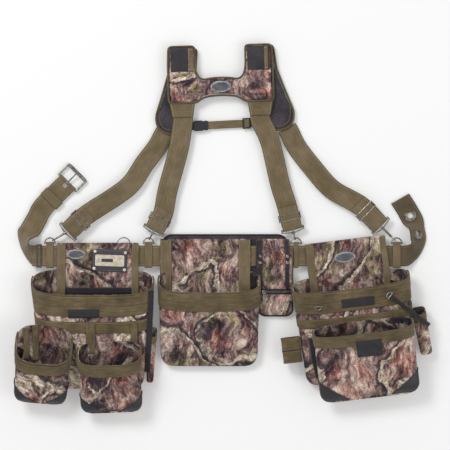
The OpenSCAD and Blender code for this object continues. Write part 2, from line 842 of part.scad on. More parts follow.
// The four suspender straps in the order of the ring keepers. Each hangs from its ring by a snap
// hook at the given place on the ring's bow, runs at the given heading and starts at its top end.
bow_rise = 13;
bow_half = ring_w / 2 + wire_r;
bow_r = (bow_half * bow_half + bow_rise * bow_rise) / (2 * bow_rise);
bow_spots = [40, 74, 104, 126];
headings = [31, 62, 104, 135];
strap_headings = [42, 62, 104, 135];
reaches = [42, 24, 24, 47];

function ring_mid(i) = [keeper_x[i], ring_y + bow_rise - bow_r, ring_z];
function toward(a) = [cos(a), sin(a), 0];
function heading(i) = toward(headings[i]);
function strap_heading(i) = toward(strap_headings[i]);
function hook_at(i) = ring_mid(i) + bow_r * [cos(bow_spots[i]), sin(bow_spots[i]), 0];
function strap_bar(i) = hook_at(i) + reaches[i] * heading(i);

tops = [
  [[-152, 284, 6], [-164, 262, 7], [-194, 222, 11], [-236, 164, ring_z]],
  [[-102, 338.3, yoke_z + yoke_t / 2], [-101.5, 320, yoke_z + yoke_t / 2], [-112, 255, 17],
    [-138, 158, ring_z]],
  [[85, 343.6, yoke_z + yoke_t / 2], [86, 325, yoke_z + yoke_t / 2], [109, 273, 17],
    [132, 175, ring_z]],
  [[156, 296, 6], [173, 262, 7], [212, 211, 11], [258, 160, ring_z]]];

straights = [56, 44, 60, 66];

function strap_path(i) = concat(tops[i], [strap_bar(i) + straights[i] * strap_heading(i),
  strap_bar(i) + (wire_r + slack + strap_t) * strap_heading(i)]);

// Places things on strap i: the origin is its bar, Y runs up the strap
module on_strap(i) {
  translate(strap_bar(i)) rotate([0, 0, strap_headings[i] - 90]) children();
}

module suspender(i) {
  color("olive") {
    ribbon(strap_edges(strap_path(i), strap_w), strap_t);
    on_strap(i) rotate([0, 0, 180]) strap_eye(strap_w, wire_r, strap_t);
  }
}

module suspender_straps() {
  for (i = [0:3]) suspender(i);
}

slider_back = [38, 26, 28, 48];
module strap_slider(i) {
  color("silver") on_strap(i) translate([0, slider_back[i], 0])
    slider(strap_w, strap_t, 1.5, 15, $fn = 16);
}

module slider_left_front() { strap_slider(0); }
module slider_left_back() { strap_slider(1); }
module slider_right_back() { strap_slider(2); }
module slider_right_front() { strap_slider(3); }

// Wire rings with a straight side in their keepers and a bow above it
module harness_rings() {
  reach = [bow_half + wire_r + 0.3, 0, 0];
  color("silver") for (i = [0:3]) {
    p = [keeper_x[i], ring_y, ring_z];
    bar(p - reach, p + reach, wire_r);
    difference() {
      translate(ring_mid(i)) rotate_extrude() translate([bow_r, 0]) circle(wire_r - 0.1, $fn = 16);
      translate(p - [2 * bow_r, 4 * bow_r, bow_r]) cube([4 * bow_r, 4 * bow_r, 2 * bow_r]);
    }
  }
}

// Snap hook. Its own origin is the ring's wire and it reaches along Y to its swivel.
hook_r = 4.8;
hook_wire = 1;
hook_back = hook_r - wire_r - 1;
hook_w = 3.4;
shank_r = 1.6;
boss_len = 5;
loop_depth = wire_r + slack + strap_t + 6;

function boss_at(i) = reaches[i] - loop_depth;

module on_hook(i) {
  translate(hook_at(i)) rotate([0, 0, headings[i] - 90]) children();
}

gate_from = 30;
gate_to = 112;
mean_r = hook_r + hook_wire;
gate_pin = [mean_r * cos(gate_from), mean_r * sin(gate_from)];
gate_tip = [mean_r * cos(gate_to), mean_r * sin(gate_to)];

module hook(i) {
  reach = boss_at(i) + boss_len / 2 + 2.2;
  color("silver") on_hook(i) {
    translate([0, hook_back, 0]) rotate([90, 0, 90]) {
      translate([0, 0, -hook_w / 2]) rotate([0, 0, gate_to]) rotate_extrude(angle = 360 - gate_to)
        translate([hook_r, 0]) square([2 * hook_wire, hook_w]);
      for (k = [-1, 1]) translate([0, 0, k * (hook_w / 2 - 0.4)]) linear_extrude(1.2, center = true)
        polygon([[mean_r - 1, -1], [gate_pin[0] - 1.2, gate_pin[1] + 1], [gate_pin[0] + 0.9, gate_pin[1] + 1.2],
          [mean_r + 2.4, 1]]);
      translate([gate_pin[0], gate_pin[1], 0]) cylinder(r = 0.6, h = hook_w + 1, center = true);
    }
    translate([0, hook_back + mean_r, 0]) rotate([-90, 0, 0]) {
      cylinder(r = shank_r, h = reach - hook_back - mean_r);
      translate([0, 0, 1.4])
        cylinder(r = shank_r + 0.9, h = boss_at(i) - boss_len / 2 - slack - hook_back - mean_r - 1.4);
    }
    translate([0, boss_at(i) + boss_len / 2 + slack, 0]) rotate([-90, 0, 0]) cylinder(r = 2.6, h = 1.8);
  }
}

module gate(i) {
  d = gate_tip - gate_pin;
  w = hook_w - 2 - 0.3;
  color("silver") on_hook(i) translate([0, hook_back, 0]) rotate([90, 0, 90])
    translate([gate_pin[0], gate_pin[1], -w / 2]) rotate([0, 0, atan2(d[1], d[0])]) difference() {
      union() {
        cylinder(r = 1.2, h = w);
        translate([0, -0.8, 0]) cube([norm(d) - 1.5, 1.6, w]);
      }
      translate([0, 0, -1]) cylinder(r = 0.66, h = w + 2);
    }
}

module hook_left_front() { hook(0); }
module hook_left_back() { hook(1); }
module hook_right_back() { hook(2); }
module hook_right_front() { hook(3); }
module gate_left_front() { gate(0); }
module gate_left_back() { gate(1); }
module gate_right_back() { gate(2); }
module gate_right_front() { gate(3); }

// Cast loops at the straps' ends: a round bar for the strap, two arms and a boss that the hook
// turns in
module strap_loops() {
  arm = wire_r + 0.2;
  half = strap_w / 2 + slack + arm;
  bend = 2 * wire_r + slack + strap_t + 0.6;
  color("silver") for (i = [0:3]) {
    boss = -loop_depth * toward(90 + headings[i] - strap_headings[i]);
    difference() {
      union() {
        on_strap(i) {
          bar([-half, 0, 0], [half, 0, 0], wire_r);
          linear_extrude(2 * arm, center = true) polygon([
            [-half - arm, arm], [-half - arm, -bend], [boss[0] - 3, boss[1] - 1.5],
            [boss[0] + 3, boss[1] - 1.5], [half + arm, -bend], [half + arm, arm], [half - arm, arm],
            [half - arm, 1.6 - bend], [boss[0] + 3, boss[1] + 2.2], [boss[0] - 3, boss[1] + 2.2],
            [arm - half, 1.6 - bend], [arm - half, arm]]);
        }
        on_hook(i) translate([0, boss_at(i) - boss_len / 2, 0]) rotate([-90, 0, 0])
          cylinder(r = 3.6, h = boss_len);
      }
      on_hook(i) translate([0, boss_at(i) - boss_len, 0]) rotate([-90, 0, 0])
        cylinder(r = shank_r + pin_gap, h = 2 * boss_len);
    }
  }
}

// ---- Chest strap ----
clip_len = 24;
clip_w = chest_w + 6;
clip_h = 8;
clip_start = 10;
plug_len = 11;
lock_at = 138;

module at_chest() {
  translate([-86, 312, 7]) rotate([0, 0, 3]) children();
}

module block(x, w, h, len) {
  translate([x, -w / 2, -h / 2]) cube([len, w, h]);
}

// Socket half of the chest clip, on a short webbing anchor
module clip_socket() {
  color("black") at_chest() difference() {
    union() {
      block(-5.8, chest_w, 2, clip_start + 6.8);
      translate([clip_start + clip_len / 2, 0, -clip_h / 2]) rounded_plate(clip_len, clip_w, 4, clip_h);
    }
    block(clip_start + 4, chest_w + 1, 4.6, clip_len);
    for (k = [-1, 1]) translate([clip_start + 10, k * clip_w / 2, 0]) cube([8, 6.4, 4.6], center = true);
  }
}

module clip_plug() {
  x = clip_start + clip_len + slack;
  color("black") at_chest() difference() {
    union() {
      translate([x + plug_len / 2, 0, -3]) rounded_plate(plug_len, clip_w - 2, 2.5, 6);
      block(x - 16, 3.4, 3.8, 17);
      for (k = [-1, 1]) translate([0, k * (chest_w / 2 - 2), 0]) block(x - 18, 4, 3.8, 19);
    }
    block(x + 4, chest_w + 2 * slack, strap_t + 2 * slack, 20);
  }
}

module chest_strap() {
  x = clip_start + clip_len + slack + 4 + slack;
  color("olive") at_chest() block(x, chest_w, strap_t, lock_at + 20 - x);
}

module ladder_lock() {
  color("black") at_chest() {
    translate([lock_at, 0, 0]) rotate([0, 0, 90]) slider(chest_w, strap_t, 1.6, 16, $fn = 16);
    translate([0, 0, -3.4]) block(lock_at - 2, chest_w, 1.6, 42.7);
  }
}

// ---- Nodes ----

lumbar_pad();
belt_webbing();
tongue_grommets();
ring_keepers();
flat_pouch();
pouch_zip();
pouch_straps();
pouch_snaps();
belt_slider();
belt_keeper();
buckle_frame();
buckle_roller();
buckle_prong();
zip_pull();
harness_rings();
yoke_pad();
yoke_badge();
yoke_tabs();
chest_pads();
suspender_straps();
strap_loops();
clip_socket();
ladder_lock();
slider_left_front();
slider_left_back();
slider_right_back();
slider_right_front();
hook_left_front();
hook_left_back();
hook_right_back();
hook_right_front();
gate_left_front();
gate_left_back();
gate_right_back();
gate_right_front();
clip_plug();
chest_strap();
left_panel();
left_main_pocket();
left_bands();
left_front_pockets();
left_corner_patches();
left_badge();
tape_base();
tape_clip();
tape_rivets();
left_sleeve();
middle_panel();
middle_pocket();
middle_band();
right_panel();
right_main_pocket();
right_bands();
right_front_pocket();
right_corner_patches();
right_badge();
right_side_loop();
right_sleeve();
bag_rings();
lanyard();
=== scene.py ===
"""Looks of the tool belt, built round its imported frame. Sizes are in millimetres until a mesh is made."""
import math
import bmesh
import bpy
import numpy as np
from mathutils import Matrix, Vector, noise
from mathutils.bvhtree import BVHTree


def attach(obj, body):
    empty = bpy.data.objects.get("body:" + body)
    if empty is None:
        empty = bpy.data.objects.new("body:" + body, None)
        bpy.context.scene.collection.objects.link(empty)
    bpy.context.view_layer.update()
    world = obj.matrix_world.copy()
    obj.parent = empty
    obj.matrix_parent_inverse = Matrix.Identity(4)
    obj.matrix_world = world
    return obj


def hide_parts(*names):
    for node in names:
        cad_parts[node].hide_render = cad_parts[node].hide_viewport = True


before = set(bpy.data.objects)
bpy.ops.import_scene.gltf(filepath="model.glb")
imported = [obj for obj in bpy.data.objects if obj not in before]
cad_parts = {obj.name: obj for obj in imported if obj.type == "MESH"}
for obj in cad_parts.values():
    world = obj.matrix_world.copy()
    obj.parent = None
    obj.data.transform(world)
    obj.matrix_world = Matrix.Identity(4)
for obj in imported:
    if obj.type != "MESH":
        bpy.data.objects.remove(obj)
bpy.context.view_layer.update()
MM = 0.001
scene = bpy.context.scene

# ---------------------------------------------------------------- camera
MM_PER_PIXEL = 2.4
VIEW_DISTANCE = 6.0
VIEW_Y = 0.0744
MIDDLE_HEIGHT = 0.03
SENSOR = 36
PHOTO_PIXELS = 450
camera_data = bpy.data.cameras.new("camera")
camera_data.sensor_width = SENSOR
camera_data.lens = SENSOR * VIEW_DISTANCE / (PHOTO_PIXELS * MM_PER_PIXEL * MM)
camera = bpy.data.objects.new("camera", camera_data)
camera.location = (0, VIEW_Y, VIEW_DISTANCE + MIDDLE_HEIGHT)
scene.collection.objects.link(camera)
scene.camera = camera


# ---------------------------------------------------------------- materials
def tone(c):
    """A grey from one number, or a linear colour from three sRGB values of 0 to 255. The rest is passed on."""
    if isinstance(c, (int, float)):
        return (c, c, c, 1)
    if isinstance(c, tuple) and len(c) == 3:
        shares = [v / 255 for v in c]
        return (*(v / 12.92 if v <= 0.04045 else ((v + 0.055) / 1.055) ** 2.4 for v in shares), 1)
    return c


class Nodes:
    """Small helper that writes a node tree."""

    def __init__(self, tree):
        self.tree = tree

    def put(self, target, value):
        if isinstance(value, bpy.types.NodeSocket):
            self.tree.links.new(value, target)
        else:
            target.default_value = value

    def add(self, kind, out=0, props=(), **inputs):
        node = self.tree.nodes.new("ShaderNode" + kind)
        for key, value in dict(props).items():
            setattr(node, key, value)
        for key, value in inputs.items():
            name = key.replace("_", " ")
            self.put(node.inputs[int(key[1:])] if key[1:].isdigit() else node.inputs[name], value)
        return node.outputs[out]

    def coords(self):
        return self.add("TexCoord", "Object")

    def scaled(self, vector, scale, rotation=(0, 0, 0), location=(0, 0, 0)):
        return self.add("Mapping", Vector=vector, Scale=scale, Rotation=rotation, Location=location)

    def math(self, operation, a, b=0.0):
        return self.add("Math", props={"operation": operation}, i0=a, i1=b)

    def times(self, a, b):
        return self.math("MULTIPLY", a, b)

    def noise(self, vector, scale, detail=4.0, roughness=0.55, out=0):
        return self.add("TexNoise", out, Vector=vector, Scale=scale, Detail=detail, Roughness=roughness)

    def wave(self, vector, way, scale, distortion, detail):
        return self.add("TexWave", "Fac", props={"wave_type": "BANDS", "bands_direction": way},
                        Vector=vector, Scale=scale, Distortion=distortion, Detail=detail)

    def cells(self, vector, scale):
        return self.add("TexVoronoi", "Distance", Vector=vector, Scale=scale)

    def step(self, fac, low, high):
        return self.add("MapRange", props={"clamp": True}, i0=fac, i1=low, i2=high)

    def ramp(self, fac, *stops):
        node = self.tree.nodes.new("ShaderNodeValToRGB")
        band = node.color_ramp
        while len(band.elements) < len(stops):
            band.elements.new(0.5)
        for element, (place, colour) in zip(band.elements, stops):
            element.position = place
            element.color = tone(colour)
        self.put(node.inputs["Fac"], fac)
        return node.outputs["Color"]

    def mix(self, fac, a, b, blend="MIX"):
        node = self.tree.nodes.new("ShaderNodeMix")
        node.data_type = "RGBA"
        node.blend_type = blend
        node.clamp_factor = True
        for socket, value in ((0, fac), (6, tone(a)), (7, tone(b))):
            self.put(node.inputs[socket], value)
        return node.outputs[2]

    def tint(self, colour, fac, *stops):
        """A colour multiplied by greys that follow fac."""
        return self.mix(1.0, colour, self.ramp(fac, *stops), "MULTIPLY")

    def bump(self, height, strength, distance, normal=None):
        under = {} if normal is None else {"Normal": normal}
        return self.add("Bump", Strength=strength, Distance=distance, Height=height, **under)


class Finish(Nodes):
    """A material. What is the same all over it is set on the shader itself."""

    def __init__(self, name, roughness=0.8, metallic=0.0, sheen=0.0, specular=0.3):
        self.mat = bpy.data.materials.new(name)
        self.mat.use_nodes = True
        super().__init__(self.mat.node_tree)
        self.shader = self.tree.nodes["Principled BSDF"]
        for key, value in (("Roughness", roughness), ("Metallic", metallic),
                           ("Sheen Weight", sheen), ("Specular IOR Level", specular)):
            self.shader.inputs[key].default_value = value

    def finish(self, **sockets):
        for key, value in sockets.items():
            self.put(self.shader.inputs[key.replace("_", " ")], value)
        return self.mat


def camo_material(name, shift=(0, 0, 0), dark=1.0):
    """Cloth with a generic woodland print: streaked bark, pale limbs, leaf litter, shadows and cracks."""
    m = Finish(name, roughness=0.85, sheen=0.15, specular=0.2)
    place = m.scaled(m.coords(), (1, 1, 0.6), location=shift)
    bent = m.mix(0.05, place, m.noise(place, 7, 3, out="Color"), "LINEAR_LIGHT")
    bent = m.mix(0.0045, bent, m.noise(place, 95, 4, 0.7, out="Color"), "LINEAR_LIGHT")

    def patches(scale, location=(0, 0, 0), detail=7, roughness=0.66):
        return m.noise(m.scaled(bent, scale, location=location), 1, detail, roughness)

    # bark, streaked upright, in three families of colour
    streaks = m.times(patches((105, 32, 60), detail=8, roughness=0.72), 0.55)
    value = m.math("ADD", streaks, m.times(patches((20, 16, 16), (2, 5, 1), roughness=0.64), 0.45))
    stops = (0.4, 0.455, 0.5, 0.545, 0.6)
    bark, rust, olive = [m.ramp(value, *zip(stops, family)) for family in (
        ((38, 30, 38), (86, 66, 70), (134, 108, 104), (178, 152, 142), (214, 194, 180)),
        ((50, 32, 34), (106, 66, 60), (150, 100, 90), (190, 140, 126), (216, 186, 170)),
        ((40, 36, 32), (84, 76, 58), (128, 116, 86), (168, 154, 122), (206, 194, 164)))]
    leaf = patches((16, 12, 10), (1, 7, 2))
    colour = m.mix(m.times(m.step(leaf, 0.54, 0.6), 0.8), bark, rust)
    colour = m.mix(m.times(m.step(leaf, 0.46, 0.41), 0.8), colour, olive)
    # pale limbs that cross the cloth, each with its shadow
    ragged = m.times(m.math("SUBTRACT", m.noise(place, 130, 5, 0.7), 0.5), 0.035)
    for angle, scale, seed in ((0.75, 6.4, 0.0), (-1.0, 5.2, 2.3)):
        cloth = m.scaled(bent, (1, 1, 1), rotation=(0, 0, angle))
        across = m.scaled(cloth, (scale, scale * 0.3, scale), location=(seed, seed, 0))
        limb = m.math("ADD", m.math("SUBTRACT", m.noise(across, 1, 2, 0.4), 0.53), ragged)
        grain = m.noise(m.scaled(cloth, (190, 50, 60)), 1, 6, 0.7)
        pale = m.ramp(grain, (0.36, (88, 72, 66)), (0.46, (172, 152, 132)), (0.6, (230, 218, 200)))
        shade = m.times(m.step(limb, 0.012, 0.02), m.step(limb, 0.045, 0.03))
        colour = m.mix(m.times(shade, 0.85), colour, (40, 34, 46))
        colour = m.mix(m.step(m.math("ABSOLUTE", limb), 0.017, 0.012), colour, pale)
    # hollows, cracks and leaf veins
    hollow = patches((14, 11, 10), (3, 12, 1))
    colour = m.mix(m.times(m.step(hollow, 0.58, 0.635), 0.8), colour, (42, 37, 50))
    for scale, seed, depth in (((46, 30, 30), 1.0, 0.65), ((30, 62, 30), 4.0, 0.55)):
        vein = m.math("ABSOLUTE", m.math("SUBTRACT", patches(scale, (seed, 2, seed), 5, 0.62), 0.5))
        colour = m.mix(m.times(m.step(vein, 0.011, 0.003), depth), colour, (36, 28, 34))
    patchy = patches((75, 50, 50), (6, 1, 3), 6, 0.7)
    colour = m.tint(colour, patchy, (0.38, 0.72 * dark), (0.5, 1.16 * dark), (0.62, 1.5 * dark))
    colour = m.tint(colour, m.noise(place, 520, 2), (0.3, 0.7), (0.7, 1.26))
    weave = m.bump(m.noise(place, 1500, 1), 0.35, 0.0004)
    return m.finish(Base_Color=colour, Normal=m.bump(m.noise(place, 60, 4), 0.35, 0.003, weave))


def webbing_material(name, base, light, stitch, ribs=700, wear=0.14):
    """Woven tape. The UV map runs along it in metres, and map "across" gives the share of its width."""
    m = Finish(name, roughness=0.75, sheen=0.25, specular=0.25)
    uv, across = [m.add("UVMap", props={"uv_map": layer}) for layer in ("UVMap", "across")]
    along = m.add("SeparateXYZ", "X", Vector=uv)
    share = m.add("SeparateXYZ", "Y", Vector=across)
    rib, pick = [m.wave(uv, way, ribs / size, 0.6, 1.0) for way, size in (("Y", 6.28), ("X", 4.5))]
    colour = m.ramp(m.noise(m.coords(), 22, 4), (0.3, base), (0.7, light))
    worn = m.noise(m.scaled(uv, (35, 240, 1)), 1, 5, 0.7)
    colour = m.tint(colour, worn, (0.36, 1 - wear), (0.5, 1.0), (0.64, 1 + wear))
    colour = m.tint(colour, m.noise(uv, 900, 2), (0.3, 0.8), (0.7, 1.12))
    colour = m.tint(colour, rib, (0.0, 0.8), (0.6, 1.05))
    rim = m.math("MINIMUM", share, m.math("SUBTRACT", 1.0, share))
    colour = m.mix(m.step(rim, 0.05, 0.0), colour, m.mix(1.0, colour, 0.62, "MULTIPLY"))
    line = m.times(m.step(rim, 0.055, 0.065), m.step(rim, 0.1, 0.09))
    dash = m.step(m.math("FRACT", m.times(along, 260.0)), 0.25, 0.3)
    colour = m.mix(m.times(m.times(line, dash), 0.7), colour, stitch)
    height = m.math("ADD", m.times(rib, 0.6), m.times(pick, 0.4))
    normal = m.bump(m.math("SUBTRACT", 1.0, line), 0.5, 0.0008, m.bump(height, 0.5, 0.0006))
    return m.finish(Base_Color=colour, Normal=normal)


def mesh_material(name, base, light, scale=330.0):
    """Air mesh: small open cells over foam."""
    m = Finish(name, roughness=0.8, sheen=0.3, specular=0.3)
    place = m.coords()
    cell = m.cells(place, scale)
    colour = m.ramp(m.noise(place, 25, 4), (0.3, base), (0.7, light))
    colour = m.tint(colour, cell, (0.15, 0.35), (0.5, 1.25))
    folds = m.wave(place, "DIAGONAL", 16.0, 3.0, 2.0)
    return m.finish(Base_Color=colour, Normal=m.bump(folds, 0.25, 0.003, m.bump(cell, 0.8, 0.001)))


def metal_material(name, base, worn, roughness=0.32):
    m = Finish(name, roughness=roughness, metallic=1.0)
    place = m.coords()
    # the darker patches of the colour are painted dark reflections, with some wear
    colour = m.ramp(m.noise(place, 120, 5), (0.3, worn), (0.62, base))
    rough = m.ramp(m.noise(place, 300, 4), (0.3, roughness * 0.7), (0.7, roughness * 1.5))
    return m.finish(Base_Color=colour, Normal=m.bump(m.noise(place, 700, 3), 0.12, 0.0004), Roughness=rough)


def plastic_material(name, base, light, roughness=0.5, grain=900):
    m = Finish(name, roughness=roughness, specular=0.4)
    place = m.coords()
    colour = m.ramp(m.noise(place, 60, 4), (0.3, base), (0.7, light))
    return m.finish(Base_Color=colour, Normal=m.bump(m.noise(place, grain, 3), 0.3, 0.0005))


def leather_material(name, base, light):
    m = Finish(name, roughness=0.42, specular=0.5)
    place = m.coords()
    pore = m.cells(place, 420.0)
    colour = m.ramp(m.noise(place, 30, 5), (0.3, base), (0.7, light))
    colour = m.tint(colour, pore, (0.0, 0.8), (0.5, 1.1))
    creases = m.bump(m.noise(place, 45, 3), 0.4, 0.003, m.bump(pore, 0.5, 0.0007))
    return m.finish(Base_Color=colour, Normal=creases)


CAMO = camo_material("camo")
CAMO_TWO = camo_material("camo_two", shift=(0.37, 0.21, 0.4))
CAMO_YOKE = camo_material("camo_yoke", dark=1.22)
# inside of the pockets: the same print made darker, as painted shade inside them
CAMO_PAINTED_SHADE_INSIDE = camo_material("camo_inside_painted_shade", shift=(0.11, 0.53, 0.2), dark=0.62)
OLIVE = webbing_material("olive_webbing", (108, 94, 68), (136, 119, 92), (168, 152, 122))
BAND = webbing_material("band_webbing", (80, 69, 46), (124, 107, 78), (150, 134, 102), wear=0.26)
TONGUE = webbing_material("tongue_webbing", (88, 76, 56), (112, 98, 76), (142, 128, 102))
BINDING = webbing_material("olive_binding", (88, 76, 52), (116, 100, 74), (146, 132, 104), ribs=1100)
BLACK_TAPE = webbing_material("black_webbing", (34, 32, 36), (54, 51, 56), (84, 80, 86))
MESH = mesh_material("black_mesh", (42, 38, 45), (74, 68, 76))
HOOK_TAPE = mesh_material("black_fleece", (40, 38, 42), (66, 63, 68), scale=700.0)
LEATHER = leather_material("black_leather", (40, 38, 44), (62, 60, 68))
CORNER = leather_material("black_corner_cloth", (20, 20, 24), (36, 36, 42))
NICKEL = metal_material("nickel", (152, 147, 141), (84, 79, 74), roughness=0.28)
STEEL = metal_material("clip_steel", (218, 208, 190), (182, 170, 148), roughness=0.36)
# nickel of the belt slider made darker: painted dark reflections on its shiny wire
SLIDER_NICKEL_PAINTED_DARK = metal_material("slider_nickel_painted_dark", (112, 108, 104), (60, 57, 55), roughness=0.3)
RIVET = metal_material("rivet_metal", (232, 230, 226), (190, 186, 180), roughness=0.25)
PLASTIC = plastic_material("black_plastic", (30, 30, 33), (44, 44, 48), 0.4)
LABEL = plastic_material("black_label", (34, 33, 35), (48, 47, 50), 0.7, grain=1600)
BADGE = metal_material("badge_metal", (176, 176, 176), (120, 120, 122), roughness=0.4)
BADGE_FIELD = plastic_material("badge_field", (70, 72, 78), (104, 106, 112), 0.45)
THREAD = plastic_material("thread", (150, 138, 104), (178, 166, 132), 0.7)


# ---------------------------------------------------------------- placing
def move(x=0, y=0, z=0):
    m = np.eye(4)
    m[:3, 3] = (x, y, z)
    return m


def turn(axis, degrees):
    c, s = math.cos(math.radians(degrees)), math.sin(math.radians(degrees))
    i, j = {"x": (1, 2), "z": (0, 1)}[axis]
    m = np.eye(4)
    m[i, i] = m[j, j] = c
    m[i, j], m[j, i] = -s, s
    return m


def put(m, points):
    p = np.asarray(points, float)
    return p @ m[:3, :3].T + m[:3, 3]


# ---------------------------------------------------------------- paths
def arc(x, y, r, start, end, count, r_y=None):
    """Points in a plane round x, y, from start to end in degrees."""
    a = np.radians(np.linspace(start, end, count))
    return list(zip(x + r * np.cos(a), y + (r_y or r) * np.sin(a)))


def round_box(x0, x1, y0, y1, r, count):
    """Outline of a rectangle with round corners of count points each."""
    corners = ((x1 - r, y1 - r, 0), (x0 + r, y1 - r, 90), (x0 + r, y0 + r, 180), (x1 - r, y0 + r, 270))
    return [q for x, y, a in corners for q in arc(x, y, r, a, a + 90, count)]


def smooth_path(points, per=6):
    """Catmull-Rom curve through points of any dimension."""
    p = np.asarray(points, float)
    ends = np.concatenate([[2 * p[0] - p[1]], p, [2 * p[-1] - p[-2]]])
    out = []
    for i in range(1, len(ends) - 2):
        a, b, c, d = ends[i - 1:i + 3]
        for t in np.linspace(0, 1, per, endpoint=False):
            out.append(0.5 * (2 * b + (c - a) * t + (2 * a - 5 * b + 4 * c - d) * t ** 2
                              + (3 * b - a - 3 * c + d) * t ** 3))
    out.append(p[-1])
    return np.array(out)


def resample(path, step, closed=False):
    p = np.asarray(path, float)
    if closed:
        p = np.concatenate([p, p[:1]])
    s = np.concatenate([[0], np.cumsum(np.linalg.norm(np.diff(p, axis=0), axis=1))])
    n = max(3, int(round(s[-1] / step)) + 1)
    at = np.linspace(0, s[-1], n)
    q = np.stack([np.interp(at, s, p[:, k]) for k in range(p.shape[1])], 1)
    return q[:-1] if closed else q


def tangents(p, closed=False):
    if closed:
        d = np.roll(p, -1, 0) - np.roll(p, 1, 0)
    else:
        d = np.gradient(p, axis=0)
    return d / np.maximum(np.linalg.norm(d, axis=1, keepdims=True), 1e-9)


def eased(p, passes=4):
    """Closed row of points or heights, each evened out with the two beside it."""
    for _ in range(passes):
        p = (np.roll(p, 1, 0) + 2 * p + np.roll(p, -1, 0)) / 4
    return p


def flat_path(points, step, axis, value, closed=False):
    """Even path through points of a plane, with the third coordinate put in at axis."""
    return np.insert(resample(points, step, closed), axis, value, 1)


def wobble(points, scale, seed, amount):
    """Smooth noise at each point, between about -amount and amount."""
    flat = np.asarray(points, float).reshape(-1, 3)
    out = [noise.noise(Vector((q[0] * scale + seed, q[1] * scale, q[2] * scale))) for q in flat]
    return np.array(out).reshape(np.asarray(points).shape[:-1]) * amount * 1.6


# ---------------------------------------------------------------- meshes
def fit(obj, body, *replaces, slot=None):
    """Lets a piece ride on its body and stand for CAD nodes. slot is not used."""
    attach(obj, body)
    if replaces:
        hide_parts(*replaces)
    return obj


def apply_modifiers(obj):
    graph = bpy.context.evaluated_depsgraph_get()
    data = bpy.data.meshes.new_from_object(obj.evaluated_get(graph))
    obj.modifiers.clear()
    obj.data = data
    return obj


def cut_out(obj, cutter):
    cut = obj.modifiers.new("cut", "BOOLEAN")
    cut.object = cutter
    cut.solver = "EXACT"
    apply_modifiers(obj)
    bpy.data.objects.remove(cutter)


def smooth_shaded(obj, smooth=True):
    obj.data.polygons.foreach_set("use_smooth", [smooth] * len(obj.data.polygons))


def make(name, points, faces, material, uv=None, across=None):
    """Mesh object from points in mm. uv and across give one pair for each corner of each face."""
    data = bpy.data.meshes.new(name)
    data.from_pydata((np.asarray(points, float) * MM).tolist(), [], [list(map(int, f)) for f in faces])
    for layer, values in (("UVMap", uv), ("across", across)):
        if values is not None:
            data.uv_layers.new(name=layer).data.foreach_set("uv", np.asarray(values, float).ravel())
    data.materials.append(material)
    obj = bpy.data.objects.new(name, data)
    smooth_shaded(obj)
    scene.collection.objects.link(obj)
    return obj


def quads(rows, cols, closed=False, first=0):
    """Faces between rows of points. In a closed one the last column meets the first."""
    pairs = [(j, (j + 1) % cols) for j in range(cols if closed else cols - 1)]
    return [(a + j, a + k, a + cols + k, a + cols + j)
            for a in range(first, first + (rows - 1) * cols, cols) for j, k in pairs]


def lengths(steps):
    """Distance along a path in metres, from its steps in mm."""
    return np.concatenate([[0], np.cumsum(steps)]) * MM


def grid(name, points, material, closed=False, floor=False, thick=0.0, offset=-1.0, painted_shade_inside=None):
    """Sheet through rows of points. Columns run along it, rows run across it."""
    p = np.asarray(points, float)
    rows, cols = p.shape[:2]
    wrap = np.concatenate([p, p[:, :1]], 1) if closed else p
    along = lengths(np.linalg.norm(np.diff(wrap.mean(0), axis=0), axis=1))
    up = lengths(np.linalg.norm(np.diff(p, axis=0), axis=2).mean(1))
    faces = quads(rows, cols, closed)
    uv, across = [[(along[j + a], height[i + b]) for i in range(rows - 1) for j in range(len(along) - 1)
                   for a, b in ((0, 0), (1, 0), (1, 1), (0, 1))] for height in (up, np.linspace(0, 1, rows))]
    if floor:
        faces.append(list(range(cols - 1, -1, -1)))
        uv += [(q[0] * MM, q[2] * MM) for q in p[0][::-1]]
        across += [(0, 0.5)] * cols
    obj = make(name, p.reshape(-1, 3), faces, material, uv, across)
    if thick:
        shell = obj.modifiers.new("thick", "SOLIDIFY")
        shell.thickness = thick * MM
        shell.offset = offset
        # the inner faces take a second material, a darker copy of the cloth that is painted shade
        if painted_shade_inside:
            obj.data.materials.append(painted_shade_inside)
            shell.material_offset = 1
        apply_modifiers(obj)
        smooth_shaded(obj)
    return obj


def tube(name, path, radius, material, closed=False, sides=10, flat=1.0, up=(0, 0, 1)):
    """Round or flattened rope along a path. flat scales it along up."""
    p = np.asarray(path, float)
    t = tangents(p, closed)
    side = np.cross(t, up)
    side /= np.maximum(np.linalg.norm(side, axis=1, keepdims=True), 1e-9)
    rise = np.cross(side, t)
    rings = [p + radius * (math.cos(a) * side + flat * math.sin(a) * rise)
             for a in np.linspace(0, 2 * math.pi, sides, endpoint=False)]
    n = len(p)
    along = lengths(np.linalg.norm(np.diff(p, axis=0), axis=1))
    faces, uv, across = [], [], []
    for i in range(n if closed else n - 1):
        k = (i + 1) % n
        u0, u1 = along[i], along[k] if k else along[-1] + 0.003
        for j in range(sides):
            l = (j + 1) % sides
            faces.append((i * sides + j, k * sides + j, k * sides + l, i * sides + l))
            v0, v1 = j * radius * 0.6 * MM, (j + 1) * radius * 0.6 * MM
            uv += [(u0, v0), (u1, v0), (u1, v1), (u0, v1)]
            across += [(u0, 0.5), (u1, 0.5), (u1, 0.5), (u0, 0.5)]
    if not closed:
        faces += [list(range(sides)), [(n - 1) * sides + j for j in range(sides)][::-1]]
        uv += [(0, 0)] * (2 * sides)
        across += [(0, 0.5)] * (2 * sides)
    return make(name, np.stack(rings, 1).reshape(-1, 3), faces, material, uv, across)


